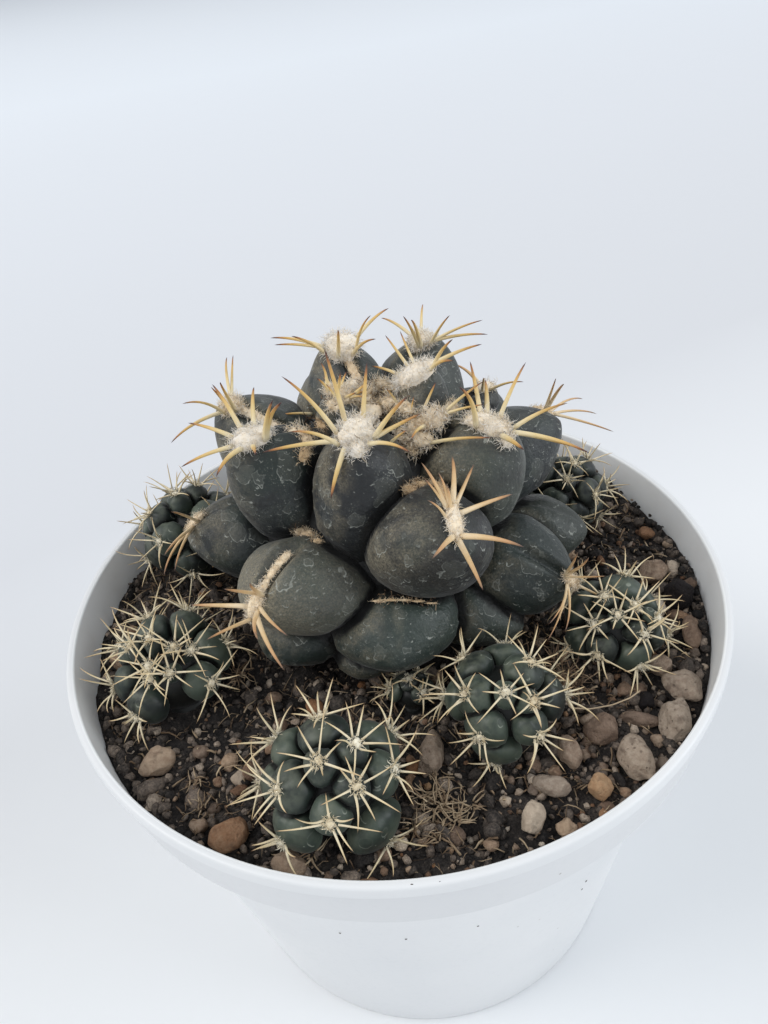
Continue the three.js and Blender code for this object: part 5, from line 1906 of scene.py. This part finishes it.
def make_offset_head(index, head, material, horn, felt):
    """An offset head's flesh, spines and wool."""
    rng = np.random.default_rng(50 + index)
    body, wool = Heap(), Heap()
    scale = head.radius / OFFSET["full_radius"]
    size = np.array(OFFSET["wool"][:3]) * (0.7 + 0.3 * scale)
    lines = []
    for k, tubercle in enumerate(head.tubercles):
        others = [other for other in head.tubercles if other is not tubercle]
        tone = jitter(index * 20 + k, 5) + HEAD_TONES.get(index, 0)
        crease = [size * scale for size in OFFSET["crease"]]
        flesh(body, tubercle, others, *OFFSET_SKIN, OFFSET["furrow"], crease, tone=tone, green=0, worn=0)
        add_tuft(wool, rng, tubercle, size)
        for seed, angle in ruled_angles(tubercle, k, OFFSET_SPINE):
            line = ruled_spine(head, tubercle, size, seed, angle, OFFSET_SPINE, 0.3 + 0.7 * scale)
            if line is not None:
                lines.append(line)
    add_stem(body, core_profile(head, scale), head.centre, 32, **HIDDEN_SKIN)
    piece(head.name + "_flesh", body, material, [head.name], "young_skin")
    horns = Heap()
    lines = np.stack(lines)
    radii = spine_radii(rng, len(lines), OFFSET_SPINE["radius"], OFFSET_SPINE["steps"])
    add_tubes(horns, lines, radii, OFFSET_SPINE["sides"], age=0.0)
    piece(head.name + "_spines", horns, horn, [head.name])
    piece(head.name + "_wool", wool, felt, [head.name])


# Surroundings


def area_light(name, place, power, colour):
    """A round lamp that faces the part."""
    data = bpy.data.lights.new(name, "AREA")
    data.shape = "DISK"
    data.size = LIGHT_SIZE
    data.energy = power
    data.color = colour
    light = bpy.data.objects.new(name, data)
    place = np.array(place, float)
    back = unit(place - np.array(LIT_PLACE, float))
    right = unit(np.cross((0, 0, 1), back))
    turn = Matrix((right, np.cross(back, right), back)).transposed().to_4x4()
    light.matrix_world = Matrix.Translation(place) @ turn
    bpy.context.scene.collection.objects.link(light)


def make_surroundings():
    """The floor, the sky and the lamps."""
    floor_mesh = bpy.data.meshes.new("floor")
    corners = [(x * FLOOR_REACH, y * FLOOR_REACH, 0) for x, y in ((-1, -1), (1, -1), (1, 1), (-1, 1))]
    floor_mesh.from_pydata(corners, [], [(0, 1, 2, 3)])
    floor = bpy.data.objects.new("floor", floor_mesh)
    floor.location.z = -0.2 * MM
    bpy.context.scene.collection.objects.link(floor)
    floor_mesh.materials.append(paper())
    floor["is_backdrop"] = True
    world = bpy.data.worlds.new("studio")
    bpy.context.scene.world = world
    world.use_nodes = True
    background = world.node_tree.nodes["Background"]
    background.inputs["Color"].default_value = SKY[0]
    background.inputs["Strength"].default_value = SKY[1]
    for name, row in LIGHTS.items():
        area_light(name, *row)
    bpy.context.scene.view_settings.view_transform = "Standard"


make_camera()
make_surroundings()
make_pot(white_plastic())
soil_finish, stone_finish = peat(), stone()
make_specks(soil_finish)
make_soil(soil_finish)
make_crumbs(soil_finish)
make_grit(stone_finish)
fibre_finish = fibre()
make_fibres(fibre_finish)
make_stones(stone_finish)
horn_finish, young_finish = spine_horn(), young_skin()
make_main_flesh(old_skin())
old_felt, wool_draws = wool_felt("old_felt", OLD_FELT), np.random.default_rng(2)
make_main_pads(wool_draws, horn_finish, old_felt)
make_loose_wool(wool_draws, old_felt, fibre_finish)
young_felt = wool_felt("young_felt", YOUNG_FELT)
for number, offset in enumerate(offset_heads):
    make_offset_head(number, offset, young_finish, horn_finish, young_felt)

boxes = {"cad": cad_box, "visual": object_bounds()}
{name: [[float(x) for x in corner] for corner in box] for name, box in boxes.items()}
